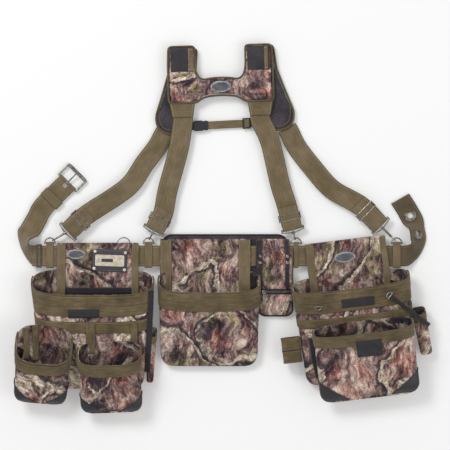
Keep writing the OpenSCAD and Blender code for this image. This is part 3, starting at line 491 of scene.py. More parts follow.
def tape(name, path, width, material, thick=1.4, side=None, crown=0.25, rows=7, shift=0.0):
    """Flat tape along a path: side gives its width direction at each point."""
    p = np.asarray(path, float)
    t = tangents(p)
    if side is None:
        side = np.cross((0, 0, 1), t)
    side = np.broadcast_to(np.asarray(side, float), p.shape)
    side = side / np.linalg.norm(side, axis=1, keepdims=True)
    rise = np.cross(t, side)
    rise /= np.linalg.norm(rise, axis=1, keepdims=True)
    out = []
    for s in np.linspace(-0.5, 0.5, rows):
        drop = crown * (1 - (2 * s) ** 4) - crown
        out.append(p + side * s * width + rise * (thick / 2 + drop + shift))
    return grid(name, np.stack(out, 0), material, thick=thick)


def stack(name, place, rings, material):
    """Closed piece through rings of points, lowest first, with flat ends."""
    rows, cols = len(rings), len(rings[0])
    faces = quads(rows, cols, closed=True)
    faces += [list(range(cols - 1, -1, -1)), [(rows - 1) * cols + j for j in range(cols)]]
    return make(name, put(place, np.concatenate(rings)), faces, material)


def plate(name, place, w, h, r, t, material, edge=0.6, crown=0.0, oval=False):
    """Plate with rounded corners and edges, its back on the place's own plane."""
    a = np.linspace(0, 2 * math.pi, 72, endpoint=False)
    half, ring = np.array([w / 2, h / 2]), np.stack([np.cos(a), np.sin(a)], 1)
    outline = half * ring if oval else np.copysign(half - r, ring) + r * ring
    levels = [(edge, 0.0), (0, edge)] if t > 2 * edge else [(0, 0.0)]
    levels += [(edge * (1 - math.cos(b)), t - edge + edge * math.sin(b))
               for b in np.linspace(0, math.pi / 2, 5)]
    levels += [(edge + (min(w, h) / 2 - edge) * k * 0.96, t + crown * (1 - (1 - k) ** 2))
               for k in np.linspace(0.2, 1, 5)]
    return stack(name, place, [np.insert(outline * (half - d) / half, 2, z, 1) for d, z in levels], material)


def lathe(name, place, profile, material, sides=24):
    """Turned piece round the place's own Z."""
    rings = [np.insert(arc(0, 0, r, 0, 360, sides + 1)[:-1], 2, z, 1) for r, z in profile]
    return stack(name, place, rings, material)


UP = np.array([0, 0, 1.0])


def stitches(name, path, body, material=THREAD, pitch=4.2, radius=0.28, slot=None):
    """Row of thread stitches along a path of points in mm."""
    p = resample(path, pitch)
    verts, faces = [], []
    for a, b in zip(p[:-1], p[1:]):
        d = b - a
        long = d * 0.62
        side = np.cross(d, (0, 0, 1)) / max(np.linalg.norm(d), 1e-6)
        faces += [(f[0], f[3], f[2], f[1]) for f in quads(4, 5, True, len(verts))]
        for q, r in ((a, 0.2), (a + long * 0.15, 1.0), (a + long * 0.85, 1.0), (a + long, 0.2)):
            verts += [q + radius * r * (c * side + s * UP) for c, s in arc(0, 0, 1, 0, 288, 5)]
    return fit(make(name, verts, faces, material), body, slot=slot)


# ---------------------------------------------------------------- laying cloth on other pieces
class Ground:
    """Height of the highest of some pieces under a point, seen from above, in mm."""

    def __init__(self, *names):
        self.trees = []
        for name in names:
            o = bpy.data.objects[name]
            verts = [o.matrix_world @ v.co for v in o.data.vertices]
            self.trees.append(BVHTree.FromPolygons(verts, [tuple(p.vertices) for p in o.data.polygons]))

    def at(self, x, y):
        hits = [t.ray_cast(Vector((x * MM, y * MM, 1)), Vector((0, 0, -1)))[0] for t in self.trees]
        hits = [h.z / MM for h in hits if h is not None]
        return max(hits) if hits else np.nan


def lay(xy, ground, lift, even=3):
    """Points over the ground at each place in xy, evened out so that cloth bridges small dips."""
    xy = np.asarray(xy, float)
    z = np.array([[ground.at(*q) for q in row] for row in xy])
    for _ in range(200):
        gaps = np.isnan(z)
        if not gaps.any() or gaps.all():
            break
        for axis in (0, 1):
            for shift in (1, -1):
                other = np.roll(z, shift, axis)
                fill = np.isnan(z) & ~np.isnan(other)
                z[fill] = other[fill]
    high = z.copy()
    for _ in range(even):
        for axis in (0, 1):
            n = z.shape[axis]
            lo = np.take(z, [0] + list(range(n - 1)), axis)
            hi = np.take(z, list(range(1, n)) + [n - 1], axis)
            z = np.maximum((lo + z + hi) / 3, high)
    return np.concatenate([xy, (z + lift)[..., None]], -1)


def patch_xy(x, y, w, h, angle=0.0, cols=24, rows=12):
    """Grid of places over a rectangle with its middle at x, y."""
    u, v = np.meshgrid(np.linspace(-w / 2, w / 2, cols), np.linspace(-h / 2, h / 2, rows))
    c, s = math.cos(math.radians(angle)), math.sin(math.radians(angle))
    return np.stack([x + c * u - s * v, y + s * u + c * v], -1)


def path_xy(points, width, rows=7, step=5):
    """Grid of places over a tape of that width along a path in the plane. Rows run across it."""
    p = resample(smooth_path(points, 6), step)
    t = tangents(p)
    side = np.stack([-t[:, 1], t[:, 0]], 1)
    return np.stack([p + side * width * s for s in np.linspace(-0.5, 0.5, rows)], 0)


def laid(name, xy, ground, material, body, *replaces, lift=1.6, thick=1.4, even=3):
    return fit(grid(name, lay(xy, ground, lift, even), material, thick=thick), body, *replaces)


# ---------------------------------------------------------------- pockets
SQUARE = 0.62


def power(v, e):
    return np.sign(v) * np.abs(v) ** e


def skin(p, angle, rise, out):
    """Point of a pocket's skin, as in the frame's own pockets."""
    floor_w, mouth_w, floor_d, mouth_d, front_h, back_h, corner = p
    a = np.radians(angle)
    h = rise * front_h
    pull = np.where(h >= corner, 0, corner - np.sqrt(np.maximum(corner ** 2 - (corner - h) ** 2, 0)))
    w = (floor_w + (mouth_w - floor_w) * rise) / 2 - pull + out
    d = (floor_d + (mouth_d - floor_d) * rise) / 2
    deep = d - np.minimum(pull, d * 0.8) + out
    z = d + power(np.sin(a), SQUARE) * deep
    x = power(np.cos(a), SQUARE) * w
    y = rise * (back_h + (front_h - back_h) * z / (2 * d))
    return np.stack([x, y, z], -1)


class Pocket:
    """A cloth pocket and its shell: its shape, its place on a bag, and its folds."""

    def __init__(self, name, material, body, place, shape, seed, *replaces,
                 fold=1.6, stiff=0.85, cols=120, rows=44):
        self.body, self.place, self.shape = body, place, shape
        self.seed, self.fold, self.stiff = seed, fold, stiff
        corner = shape[6] / shape[4]
        rises = np.concatenate([np.linspace(0, 1, 9)[:-1] ** 1.2 * corner, np.linspace(corner, 1, rows - 8)])
        angles = np.linspace(0, 360, cols, endpoint=False)
        p = self.points(angles[None, :], rises[:, None])
        # the shell's inner faces are painted darker, as shade inside the pocket
        shell = grid(name, p[:, ::-1], material, closed=True, floor=True, thick=2.0, painted_shade_inside=CAMO_PAINTED_SHADE_INSIDE)
        fit(shell, body, *replaces)

    def puff(self, angle, rise):
        """How far the cloth stands out of the plain shape, in mm."""
        base = skin(self.shape, angle, rise, 0.0)
        soft = np.clip((self.stiff - rise) / 0.25, 0, 1) * np.clip(rise / 0.12, 0, 1)
        big = wobble(base * (1, 0.45, 1), 0.016, self.seed, self.fold)
        fine = wobble(base * (1, 0.6, 1), 0.05, self.seed + 9, self.fold * 0.3)
        front = 0.5 + 0.5 * np.sin(np.radians(angle))
        belly = 1.6 * np.sin(np.pi * np.clip(rise, 0, 1)) * front
        side = 1 - 0.7 * np.abs(np.cos(np.radians(angle))) ** 8
        return (big + fine + belly) * soft * side

    def points(self, angle, rise, out=0.0):
        angle, rise = np.broadcast_arrays(np.asarray(angle, float), np.asarray(rise, float))
        return put(self.place, skin(self.shape, angle, rise, out + self.puff(angle, rise)))

    def band(self, name, low, high, *replaces, thick=2.0, start=-14, end=194, out=0.3, cols=90, bulge=0.5):
        crown = bulge * (1 - (2 * np.linspace(0, 1, 9) - 1) ** 4)
        p = self.points(np.linspace(start, end, cols)[None, :], np.linspace(low, high, 9)[:, None],
                        out + thick + crown[:, None])
        fit(grid(name, p[:, ::-1], BAND, thick=thick), self.body, *replaces)

    def mouth_bands(self, name, low, *replaces, split=0.5, start=-14, end=194):
        """Two rows of webbing round the mouth: the upper one is folded over the rim."""
        middle = low + (1 - low) * split
        self.band(name + "_lower", low, middle + 0.01, *replaces, thick=1.7, start=start, end=end)
        self.band(name + "_upper", middle, 1.0, thick=1.7, start=start, end=end, out=1.0)
        rim = self.points(np.linspace(start, end, 110), 1.0, 1.2)
        fit(tube(name + "_rim", rim, 2.0, BINDING, sides=8), self.body)

    def corner_patch(self, name, side, reach, width, *replaces):
        """Black patch on a lower corner, its top edge falling in a hollow curve towards the middle."""
        half = self.shape[0] / 2
        span = math.degrees(math.acos(max(0.02, 1 - width / half) ** (1 / SQUARE)))
        angles = np.linspace(-10, span, 30) if side > 0 else np.linspace(190, 180 - span, 30)
        along = np.clip((half - np.abs(power(np.cos(np.radians(angles)), SQUARE)) * half) / width, 0, 1)
        tops = 0.03 + (reach - 0.03) * (1 - along) ** 0.8
        rises = 0.02 + (tops[None, :] - 0.02) * np.linspace(0, 1, 14)[:, None]
        p = self.points(angles[None, :], rises, 1.6)
        if side > 0:
            p = p[:, ::-1]
        fit(grid(name, p, CORNER, thick=1.3), self.body, *replaces)
        fit(tube(name + "_edge", self.points(angles, tops, 2.0), 0.7, CORNER, sides=6), self.body)


LOOSE_Z = 14.15
SLACK = 0.35
# widths of floor and mouth, depths of floor and mouth, heights of front and back, corner radius
LEFT_SHAPE = (240, 290, 34, 60, 227.85, 287.85, 24)
MIDDLE_SHAPE = (232, 242, 30, 50, 179.85, 233.85, 28)
RIGHT_SHAPE = (264, 280, 34, 60, 223.779, 259.779, 26)


def lean(shape):
    """Degrees that a bag leans forward, as its top hangs over the belt and its floor lies on the ground."""
    return math.degrees(math.atan(LOOSE_Z / shape[5]))


def front_lean(shape):
    """Degrees that a pocket's front slopes outwards."""
    return math.degrees(math.atan((shape[3] - shape[2]) / shape[4]))


left_place = move(-317, -318, SLACK) @ turn("x", lean(LEFT_SHAPE))
middle_place = move(-38, -264, SLACK) @ turn("x", lean(MIDDLE_SHAPE))
right_bag = move(290, 0, 0) @ turn("z", 7)
right_place = right_bag @ move(3, -300, SLACK) @ turn("x", lean(RIGHT_SHAPE))
left_front = left_place @ turn("x", front_lean(LEFT_SHAPE))
left_main = Pocket("left_main_shell", CAMO, "left_bag", left_place, LEFT_SHAPE, 1.3, "left_main_pocket",
                   fold=1.4, stiff=0.6)
side_pocket = Pocket("left_side_shell", CAMO_TWO, "left_bag",
                     left_front @ move(-127, -27, 34.15) @ turn("z", -5),
                     (122, 132, 28, 46, 104, 188, 20), 5.1, "left_front_pockets")
wide_pocket = Pocket("left_wide_shell", CAMO, "left_bag", left_front @ move(46, -50, 34.05) @ turn("z", 2),
                     (144, 150, 28, 46, 122, 172, 22), 8.7)
left_sleeve = Pocket("left_sleeve_shell", CAMO_TWO, "left_bag",
                     left_place @ move(136.1, 14, 6) @ turn("z", -3.2), (16, 20, 16, 26, 112, 132, 6), 11.4,
                     "left_sleeve", fold=0.6, stiff=0.95, cols=48, rows=24)
middle_main = Pocket("middle_shell", CAMO_TWO, "middle_bag", middle_place, MIDDLE_SHAPE, 15.9, "middle_pocket",
                     fold=1.8, stiff=0.78)
right_main = Pocket("right_main_shell", CAMO, "right_bag", right_place, RIGHT_SHAPE, 21.2, "right_main_pocket",
                    fold=1.4, stiff=0.6)
right_front = Pocket("right_front_shell", CAMO_TWO, "right_bag",
                     right_place @ turn("x", front_lean(RIGHT_SHAPE)) @ move(14, -36, 36.7),
                     (236, 238, 28, 46, 164, 187, 26), 27.6, "right_front_pocket", stiff=0.86)
right_sleeve = Pocket("right_sleeve_shell", CAMO, "right_bag",
                      right_place @ move(162, 42, 8) @ turn("z", 4.5), (28, 33, 18, 28, 100, 116, 8), 31.3,
                      "right_sleeve", fold=0.7, stiff=0.95, cols=48, rows=24)

left_main.mouth_bands("left_band", 1 - 50 / 227.85, "left_bands")
left_main.band("left_low_band", 0.605, 0.605 + 27 / 227.85)
side_pocket.mouth_bands("left_side_band", 0.76, split=0.45, start=-20, end=200)
wide_pocket.mouth_bands("left_wide_band", 0.78, split=0.45, start=-20, end=200)
middle_main.mouth_bands("middle_band_cloth", 1 - 44 / 179.85, "middle_band")
right_main.mouth_bands("right_band", 1 - 50 / 223.8, "right_bands")
right_main.band("right_low_band", 0.625, 0.625 + 21 / 223.8)
right_front.mouth_bands("right_front_band", 0.84, split=0.45)
for pocket, name in ((left_sleeve, "left_sleeve_hem"), (right_sleeve, "right_sleeve_hem")):
    pocket.band(name, 0.86, 1.0, thick=1.0, start=0, end=356, cols=50, out=0.0, bulge=0.2)
for side, tag in ((-1, "left"), (1, "right")):
    side_pocket.corner_patch("side_corner_" + tag, side, 0.36, 44, "left_corner_patches")
    wide_pocket.corner_patch("wide_corner_" + tag, side, 0.33, 48)
    right_front.corner_patch("front_corner_" + tag, side, 0.34, 62, "right_corner_patches")


# ---------------------------------------------------------------- upper panels
def panel(name, place, width, top, bottom, tunnel, flap, tilt, body, node, material, strips, hem, seed):
    """Bag panel that wraps over the belt: front sheet, top fold and back sheet, with side webbing.

    top, bottom, tunnel and flap are heights, strips are places and widths, and hem is the reach of the black
    hem tape, partly a real hem and partly painted shadow inside the pocket's mouth.
    """
    xs = np.linspace(-width / 2, width / 2, 70)
    z_front, z_back = 18.4, 13.1
    fold = (z_front - z_back) / 2
    path = [(bottom, 15.2), (bottom + 30, 16.6), (-tunnel / 2 - 4, z_front - 0.2)]
    path += [(y, z_front) for y in np.linspace(-tunnel / 2 + 6, top - 6, 12)]
    path += arc(top - fold, z_back + fold, fold, 90, -90, 9)
    drop = (flap - tunnel / 2) * math.tan(math.radians(tilt))
    path += [(0, z_back), (-tunnel / 2 - 2, z_back), (-flap, z_back - drop)]
    yz = resample(np.array(path), 4)
    p = np.zeros((len(yz), len(xs), 3))
    p[..., 0] = xs[None, :]
    p[..., 1:] = yz[:, None, :]
    front = (yz[:, 1] > z_front - 1.5)[:, None]
    edge = np.clip((width / 2 - np.abs(xs)) / 16, 0, 1)[None, :]
    rise = np.clip((top - 2 - yz[:, :1]) / 10, 0, 1) * edge
    p[..., 2] += front * rise * (1.6 + wobble(p * (1, 0.6, 1), 0.022, seed, 1.8))
    p[..., 0] *= 1 - 0.012 * np.clip((yz[:, :1] + 60) / 80, 0, 1) ** 2
    fit(grid(name, put(place, p), material, thick=1.7, offset=0.0), body, node)
    # black hem tape on the front's lower edge: partly a real hem, partly painted shadow inside the mouth below
    # it
    rows = [k for k in range(len(yz)) if yz[k, 1] > 15 and hem[0] <= yz[k, 0] <= hem[1]]
    if rows:
        fit(grid(name + "_hem", put(place, p[rows] + (0, 0, 1.7)), BLACK_TAPE, thick=1.2, offset=0.0), body)
    for i, (x, w) in enumerate(strips):
        ys = np.linspace(bottom - 2, top - 3, 40)
        bow = wobble(np.stack([ys * 0 + x, ys, ys * 0], 1), 0.02, seed + i, 1.2)
        path = np.stack([x + bow, ys, np.interp(ys, yz[:20, 0], yz[:20, 1]) + 3.4 + bow * 0.3], 1)
        path[-3:, 2] -= (0.2, 0.8, 2.2)
        fit(tape("%s_side_%d" % (name, i), put(place, path), w, OLIVE, thick=1.6, side=place[:3, 0]), body)


panel("left_panel_cloth", move(-306, 0, 0), 197, 31, -112, 56, 104, lean(LEFT_SHAPE), "left_bag", "left_panel",
      CAMO_TWO, ((-88, 21), (90, 17)), (-94, -73), 2.2)
panel("middle_panel_cloth", move(-47, 0, 0), 219, 41, -100, 56, 80, lean(MIDDLE_SHAPE), "middle_bag",
      "middle_panel", CAMO, ((-95, 27), (94, 28)), (0, 0), 4.9)
panel("right_panel_cloth", right_bag @ move(3, 0, 0), 195, 39, -98, 76, 92, lean(RIGHT_SHAPE), "right_bag",
      "right_panel", CAMO_TWO, ((-88, 19), (90, 15)), (-98, -80), 7.4)

# ---------------------------------------------------------------- belt
RING_Z = 15.75
BELT_W = 50
LEFT_Z = 6
RIGHT_Z = 3.6


def turned(rows, x0):
    """Edge points of the belt from rows of: left edge, right edge, height, tilt."""
    out = []
    for a, b, z, tilt in rows:
        p = np.array([[a[0] + x0, a[1], z + 0.5 * tilt], [b[0] + x0, b[1], z - 0.5 * tilt]])
        mid, d = p.mean(0), p[0] - p[1]
        out.append([mid + d / np.linalg.norm(d) * BELT_W / 2, mid - d / np.linalg.norm(d) * BELT_W / 2])
    return np.array(out)


def level(x):
    return [[x, BELT_W / 2, RING_Z], [x, -BELT_W / 2, RING_Z]]


# the two ends lie turned over on the ground
left_turn = turned([
    [[0, 25], [0, -25], RING_Z, 0], [[-9, 26], [-8, -22], RING_Z + 1, 14],
    [[-15, 29], [-22, -6], RING_Z + 5, 34], [[-16, 34], [-35, 18], RING_Z + 8, 42],
    [[-13, 40], [-42, 45], RING_Z + 5, 36],
    [[-2, 46], [-43, 62], RING_Z - 2, 20], [[8, 51], [-37, 73], LEFT_Z, 0], [[24, 78], [-20, 103], LEFT_Z, 0],
    [[38, 104], [-2, 134], LEFT_Z, 0], [[89, 155], [54, 190], LEFT_Z, 0]], -455)
right_turn = turned([
    [[0, 25], [0, -25], RING_Z, 0], [[10, 26], [16, -20], RING_Z + 1, 14], [[16, 29], [36, -2], RING_Z + 4, 34],
    [[17, 34], [49, 20], RING_Z + 4, 38], [[16, 39], [54, 43], RING_Z + 3, 32],
    [[12, 65], [50, 69], RING_Z + 3, 32], [[1, 78], [45, 92], RIGHT_Z, 0], [[-13, 101], [30, 122], RIGHT_Z, 0],
    [[-29, 126], [13, 150], RIGHT_Z, 0]], 430)


def ribbon(name, edges, material, *replaces):
    """Belt webbing through pairs of edge points."""
    e = smooth_path(np.reshape(edges, (-1, 6)), 8).reshape(-1, 2, 3)
    share = np.linspace(0, 1, 9)[:, None, None]
    p = e[None, :, 1] * (1 - share) + e[None, :, 0] * share
    return fit(grid(name, p, material, thick=2.5, offset=0.0), "belt", *replaces)


def hole_at(edges, spot):
    """Middle of the belt and its upward direction at a place between two pairs of edge points."""
    def normal(k):
        a, b = edges[max(k - 1, 0)], edges[min(k + 1, len(edges) - 1)]
        n = np.cross(edges[k][0] - edges[k][1], b.sum(0) - a.sum(0))
        return n / np.linalg.norm(n)
    i = int(spot)
    f = spot - i
    n = -(normal(i) * (1 - f) + normal(i + 1) * f)
    return (edges[i] * (1 - f) + edges[i + 1] * f).mean(0), n / np.linalg.norm(n)


buckle_place = move(-383.5, 172.5, LEFT_Z) @ turn("z", -45)
left_end = ribbon("belt_left_end", [*left_turn[::-1], level(-380)], OLIVE, "belt_webbing")
corners = put(buckle_place, [(x, y, z) for x in (-4.6, 4.6) for y in (-8.8, 9) for z in (-8, 8)])
box_faces = [(0, 1, 3, 2), (4, 6, 7, 5), (0, 4, 5, 1), (2, 3, 7, 6), (0, 2, 6, 4), (1, 5, 7, 3)]
cut_out(left_end, make("prong_slot", corners, box_faces, OLIVE))
ribbon("belt_middle", [level(x) for x in (-385, -190, 0, 190, 385)], OLIVE)
tongue = ribbon("belt_tongue", [level(380), *right_turn], TONGUE)
for spot in (6.45, 4.5):
    middle, way = hole_at(right_turn, spot)
    cut_out(tongue, tube("grommet_hole", [middle - way * 12, middle + way * 12], 8.6, TONGUE, sides=32,
                         up=(0.3, 1, 0.2)))

# ---------------------------------------------------------------- harness straps
STRAP_W = 48
STRAP_T = 2.4
LOOP_WIRE = 1.8
MID_Z = 17.35
# the strap loops' bars: place, direction of the strap in degrees, its straight length and its folded end
STRAPS = {
    "left_front": ([-375.562, 60.5812, RING_Z], 42, 56, 64,
                   [[-142, 302, 6], [-152, 284, 6], [-164, 262, 7], [-194, 222, 11], [-236, 164, RING_Z]]),
    "left_back": ([-169.337, 64.0635, RING_Z], 62, 44, 52,
                  [[-102, 338.3, MID_Z], [-101.5, 320, MID_Z], [-112, 255, 17], [-138, 158, RING_Z]]),
    "right_back": ([162.214, 66.2712, RING_Z], 104, 60, 54,
                   [[85, 343.6, MID_Z], [86, 325, MID_Z], [109, 273, 17], [132, 175, RING_Z]]),
    "right_front": ([372.525, 74.2313, RING_Z], 135, 66, 74,
                    [[149, 309, 6], [156, 296, 6], [173, 262, 7], [212, 211, 11], [258, 160, RING_Z]])}
for i, (tag, (bar, heading, straight, back, top)) in enumerate(STRAPS.items()):
    bar = np.array(bar)
    s = np.array([math.cos(math.radians(heading)), math.sin(math.radians(heading)), 0])
    path = resample(smooth_path(top + [bar + straight * s, bar + 7 * s], 10), 6)
    path[:, 2] += wobble(path, 0.02, i * 3.1, 0.5)
    fit(tape("strap_" + tag, path, STRAP_W, OLIVE, STRAP_T, shift=-STRAP_T / 2), "harness",
        *["suspender_straps"] * (i == 0))
    # the strap's end goes round its loop and back through the slider
    r = LOOP_WIRE + SLACK + STRAP_T / 2
    tail = [(7, -r * 0.4)] + [(y, z) for z, y in arc(0, 0, r, 180, 360, 13)]
    tail += [(6, r - 0.2), (12, 3.0), (back - 34, 2.6), (back - 20, 2.7), (back, 2.6)]
    path = resample([bar + s * d + (0, 0, z) for d, z in tail], 3)
    fit(tape("strap_end_" + tag, path, STRAP_W - 1, OLIVE, 2.0, side=np.cross((0, 0, 1), s), crown=0.1),
        "harness")


# ---------------------------------------------------------------- pads
def soft_copy(name, node, material, body, fold, low, high=np.inf, voxel=4.0, cap=3.0):
    """Padded piece from a CAD node: remeshed, and inflated as cloth within a cap, in mm."""
    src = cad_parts[node]
    data = src.data.copy()
    data.transform(src.matrix_world)
    data.materials.clear()
    data.materials.append(material)
    obj = bpy.data.objects.new(name, data)
    scene.collection.objects.link(obj)
    remesh = obj.modifiers.new("remesh", "REMESH")
    remesh.mode = "VOXEL"
    remesh.voxel_size = voxel * MM
    even = obj.modifiers.new("even", "SMOOTH")
    even.factor = 0.5
    even.iterations = 4
    apply_modifiers(obj)
    start = np.array([v.co for v in obj.data.vertices])
    cloth = obj.modifiers.new("cloth", "CLOTH")
    s = cloth.settings
    s.use_pressure = True
    s.uniform_pressure_force = 4
    s.effector_weights.gravity = 0
    s.quality = 4
    cloth.point_cache.frame_start = 1
    cloth.point_cache.frame_end = 20
    for f in range(1, 21):
        scene.frame_set(f)
    swollen = obj.evaluated_get(bpy.context.evaluated_depsgraph_get()).data
    step = np.array([v.co for v in swollen.vertices]) - start
    obj.modifiers.clear()
    scene.frame_set(1)
    far = np.linalg.norm(step, axis=1, keepdims=True)
    start = start + step * np.minimum(1, cap * MM / np.maximum(far, 1e-9))
    p = fold(start / MM)
    p[:, 2] = np.clip(p[:, 2], low, high(p) if callable(high) else high)
    obj.data.vertices.foreach_set("co", (p * MM).ravel())
    sub = obj.modifiers.new("fine", "SUBSURF")
    sub.levels = sub.render_levels = 1
    apply_modifiers(obj)
    smooth_shaded(obj)
    fit(obj, body, node)
    return Ground(name)


def edge_binding(name, outline, place, z, height, wide):
    p = put(place, np.insert(eased(resample(outline, 4, closed=True)), 2, z, 1))
    fit(tube(name, p, wide, BINDING, closed=True, sides=12, flat=height / 2 / wide), "harness")


YOKE_Z = 12.35
yoke_place = move(-10, 403, YOKE_Z) @ turn("z", 1.6)
yoke_half = [[0, 26], [24, 25], [42, 21], [50, 25], [56, 33], [60, 46], [61, 62], [61, 103], [124, 103],
             [126, 60], [126, -33], [57, -33], [52, -27], [44, -22], [30, -18], [0, -16]]
yoke_outline = yoke_half + [[-x, y] for x, y in yoke_half[::-1] if x]


def yoke_folds(p):
    p[:, 2] += (p[:, 2] > YOKE_Z + 6) * wobble(p, 0.035, 3.3, 0.8)
    return p


on_yoke = soft_copy("yoke_cloth", "yoke_pad", CAMO_YOKE, "harness", yoke_folds, YOKE_Z)
edge_binding("yoke_binding", yoke_outline, yoke_place, 5.2, 12.5, wide=2.6)
FOOT_X = 93.5
for k, tag, middle, wide, edge_tape in ((-1, "left", -98, 42, -69), (1, "right", 92, 54, 110.5)):
    for name, x, w, cols, material, lift in (("shoulder_patch_", middle, wide, 14, HOOK_TAPE, 1.4),
                                             ("shoulder_tape_", edge_tape, 9, 5, OLIVE, 2.3)):
        xy = put(yoke_place, np.insert(patch_xy(x, 71, w, 58, cols=cols, rows=16), 2, 0, -1))[..., :2]
        laid(name + tag, xy, on_yoke, material, "harness", lift=lift, thick=1.2)
    # webbing foot that the back strap is sewn into
    rows = []
    for s in np.linspace(0, 1, 9):
        across = [[k * (FOOT_X + (0.5 - s) * (65 * (1 - t) + 50 * t) + (2 - 2 * t) * (s - 0.2)), -30 - 37 * t,
                   5.2 + 3.0 * (1 - 0.3 * t)] for t in np.linspace(0, 1, 12)]
        rows.append(across[::-1] if k > 0 else across)
    foot = grid("yoke_foot_" + tag, put(yoke_place, rows), OLIVE, thick=5.0)
    fit(foot, "harness", *["yoke_tabs"] * (k < 0))
    high_left, high_right = [k * (FOOT_X - 20), -36, 8.6], [k * (FOOT_X + 20), -36, 8.6]
    low_left, low_right = [k * (FOOT_X - 18), -54, 7.8], [k * (FOOT_X + 18), -54, 7.8]
    crossed = [high_left, high_right, low_right, low_left, high_left, low_right]
    stitches("foot_stitch_" + tag, put(yoke_place, crossed), "harness", pitch=3)

chest_outline = [[-32, -4], [33, -4], [36, -63], [50, -113], [66, -165], [66, -180], [60, -197], [46, -207],
                 [25, -210], [8, -206], [-4, -194], [-9, -176], [-14, -150], [-28, -83]]
chest_seam = [[58, -146], [58, -172], [52, -190], [42, -198], [25, -201], [12, -197], [4, -187], [-1, -172],
              [-5, -152]]
MIRROR = np.diag([-1.0, 1, 1, 1])


def chest_folds(p):
    """Air mesh that has taken folds from being worn."""
    top = p[:, 2] > 6
    a, b = [np.sin((p[:, 0] * 0.8 + k * p[:, 1]) * 0.16 + wobble(p, 0.02, seed, 2.0))
            for k, seed in ((1, 2.0), (-1, 7.0))]
    p[:, 2] += top * (np.maximum(a, b) * 0.9 - 0.6 + wobble(p, 0.03, 5.5, 0.8))
    return p


def under_yoke(p):
    return np.where(p[:, 1] > 355, 12.2, 15.0)


on_chest = soft_copy("chest_mesh", "chest_pads", MESH, "harness", chest_folds, 0.1, under_yoke)
for place, outline, tag in ((move(-100, 503, 0) @ MIRROR, chest_outline[::-1], "left"),
                            (move(82, 509, 0) @ turn("z", 6), chest_outline, "right")):
    edge_binding("chest_binding_" + tag, outline, place, 6.0, 12.8, wide=2.7)
    spots = put(place, np.insert(smooth_path(chest_seam, 5), 2, 0, 1))[:, :2]
    line = lay(spots[None], on_chest, 0.2, 0)[0]
    fit(tube("chest_seam_" + tag, line, 1.2, BINDING, sides=8), "harness")


def pad_folds(p):
    """Quilted channels across the back pad."""
    wave = np.abs(np.sin(p[:, 0] * math.pi / 50))
    p[:, 2] += (p[:, 2] > 6) * (-1.6 * (1 - wave) ** 4)
    return p


soft_copy("back_pad", "lumbar_pad", MESH, "belt", pad_folds, 0.1, 12.1, voxel=5.0, cap=1.0)
pad_outline = np.roll(round_box(-150, 150, -62, 50, 22, 7), 14, 0)
rim = flat_path(pad_outline, 4, 2, 0, closed=True)
rim[:, 2] = eased(np.where(rim[:, 1] < -26, 4.4, 5.8))
fit(tube("back_pad_binding", rim, 2.6, BLACK_TAPE, closed=True, sides=10, flat=1.9), "belt")

# ---------------------------------------------------------------- belt fittings
RING_Y = 30.35
# place and width of each
KEEPERS = ((-421, 18), (-184, 19), (171, 12), (413, 19))
keeper = [(22, 13.25)] + arc(RING_Y, RING_Z, 3.1, -135, 135, 15) + [(22, 18.25), (0, 18.3)]
keeper += arc(-25.9, RING_Z, 2.4, 90, 270, 9, 2.5) + [(0, 13.25), (21, 13.25)]
for i, (x, w) in enumerate(KEEPERS):
    path = flat_path(keeper, 2.2, 0, x)
    fit(tape("ring_keeper_%d" % i, path, w, OLIVE, thick=1.5, side=(-1, 0, 0), crown=0.1), "belt",
        *["ring_keepers"] * (i == 0))

eye = [(-9.5, 2.1), (-4, 2.2), (2.0, 2.8)]
eye += arc(5.45, 0, 4.3, 125, -125, 15) + [(y, -z) for y, z in eye[::-1]]
for k, tag in ((-1, "left"), (1, "right")):
    path = put(buckle_place, flat_path(eye, 1.6, 0, 14.75 * k))
    fit(tape("belt_eye_" + tag, path, 20.4, OLIVE, thick=1.7, side=-buckle_place[:3, 0], crown=0.1,
             shift=-0.85), "belt")
loop = round_box(-26.6, 26.6, -2.5, 4.9, 2.4, 6)
path = put(buckle_place, flat_path(loop + loop[:1], 2.5, 1, -48.0))
fit(tape("belt_loop", path, 22, OLIVE, thick=1.6, side=buckle_place[:3, 1], crown=0.2), "belt_keeper",
    "belt_keeper")

# ---------------------------------------------------------------- flat pouch
P_LEFT, P_RIGHT, P_TOP, P_LOW, P_CORNER = 80, 163, 41, -144, 18
# heights of its front and back along it
FRONT = [(-144, 5.6), (-130, 13.35), (-59, 19.35), (-29, 24.35), (10, 24.35), (41, 21.35)]
BACK = [(-144, 5.2), (-130, 6.0), (-76, 8.35), (-59, 12.35), (-29, 17.35), (41, 17.35)]
mid_x = (P_LEFT + P_RIGHT) / 2
rows = []
for y in np.linspace(P_LOW, P_TOP, 60):
    sunk = max(P_LOW + P_CORNER - y, 0)
    inset = P_CORNER - math.sqrt(P_CORNER ** 2 - sunk ** 2)
    front, back = np.interp(y, *zip(*FRONT)), np.interp(y, *zip(*BACK))
    if y < P_LOW + 6:
        front = np.interp(y, [P_LOW, P_LOW + 6], [8.4, front])
    half = (P_RIGHT - P_LEFT) / 2 - inset
    ring = []
    for a in np.linspace(0, 2 * math.pi, 64, endpoint=False):
        u, v = power(math.cos(a), 0.55), power(math.sin(a), 0.7)
        z = (front + back) / 2 + v * (front - back) / 2
        # wider at its top left, and narrower at its top right, beside a ring
        x = mid_x + half * u - 5 * max(-u, 0) * np.clip((y + 36) / 10, 0, 1)
        x -= 8.5 * max(u, 0) * np.clip((y - 15) / 8, 0, 1)
        if v > 0:
            soft = (1 - u ** 4) * (1 if y < -30 else 0.4)
            z += soft * 1.6 + wobble([[x, y, 0]], 0.03, 13.0, 1.0)[0] * (1 - u ** 6)
        ring.append((x, y, z))
    rows.append(ring[::-1])
pouch = grid("flat_pouch_cloth", np.array(rows), CAMO_TWO, closed=True)
bm = bmesh.new()
bm.from_mesh(pouch.data)
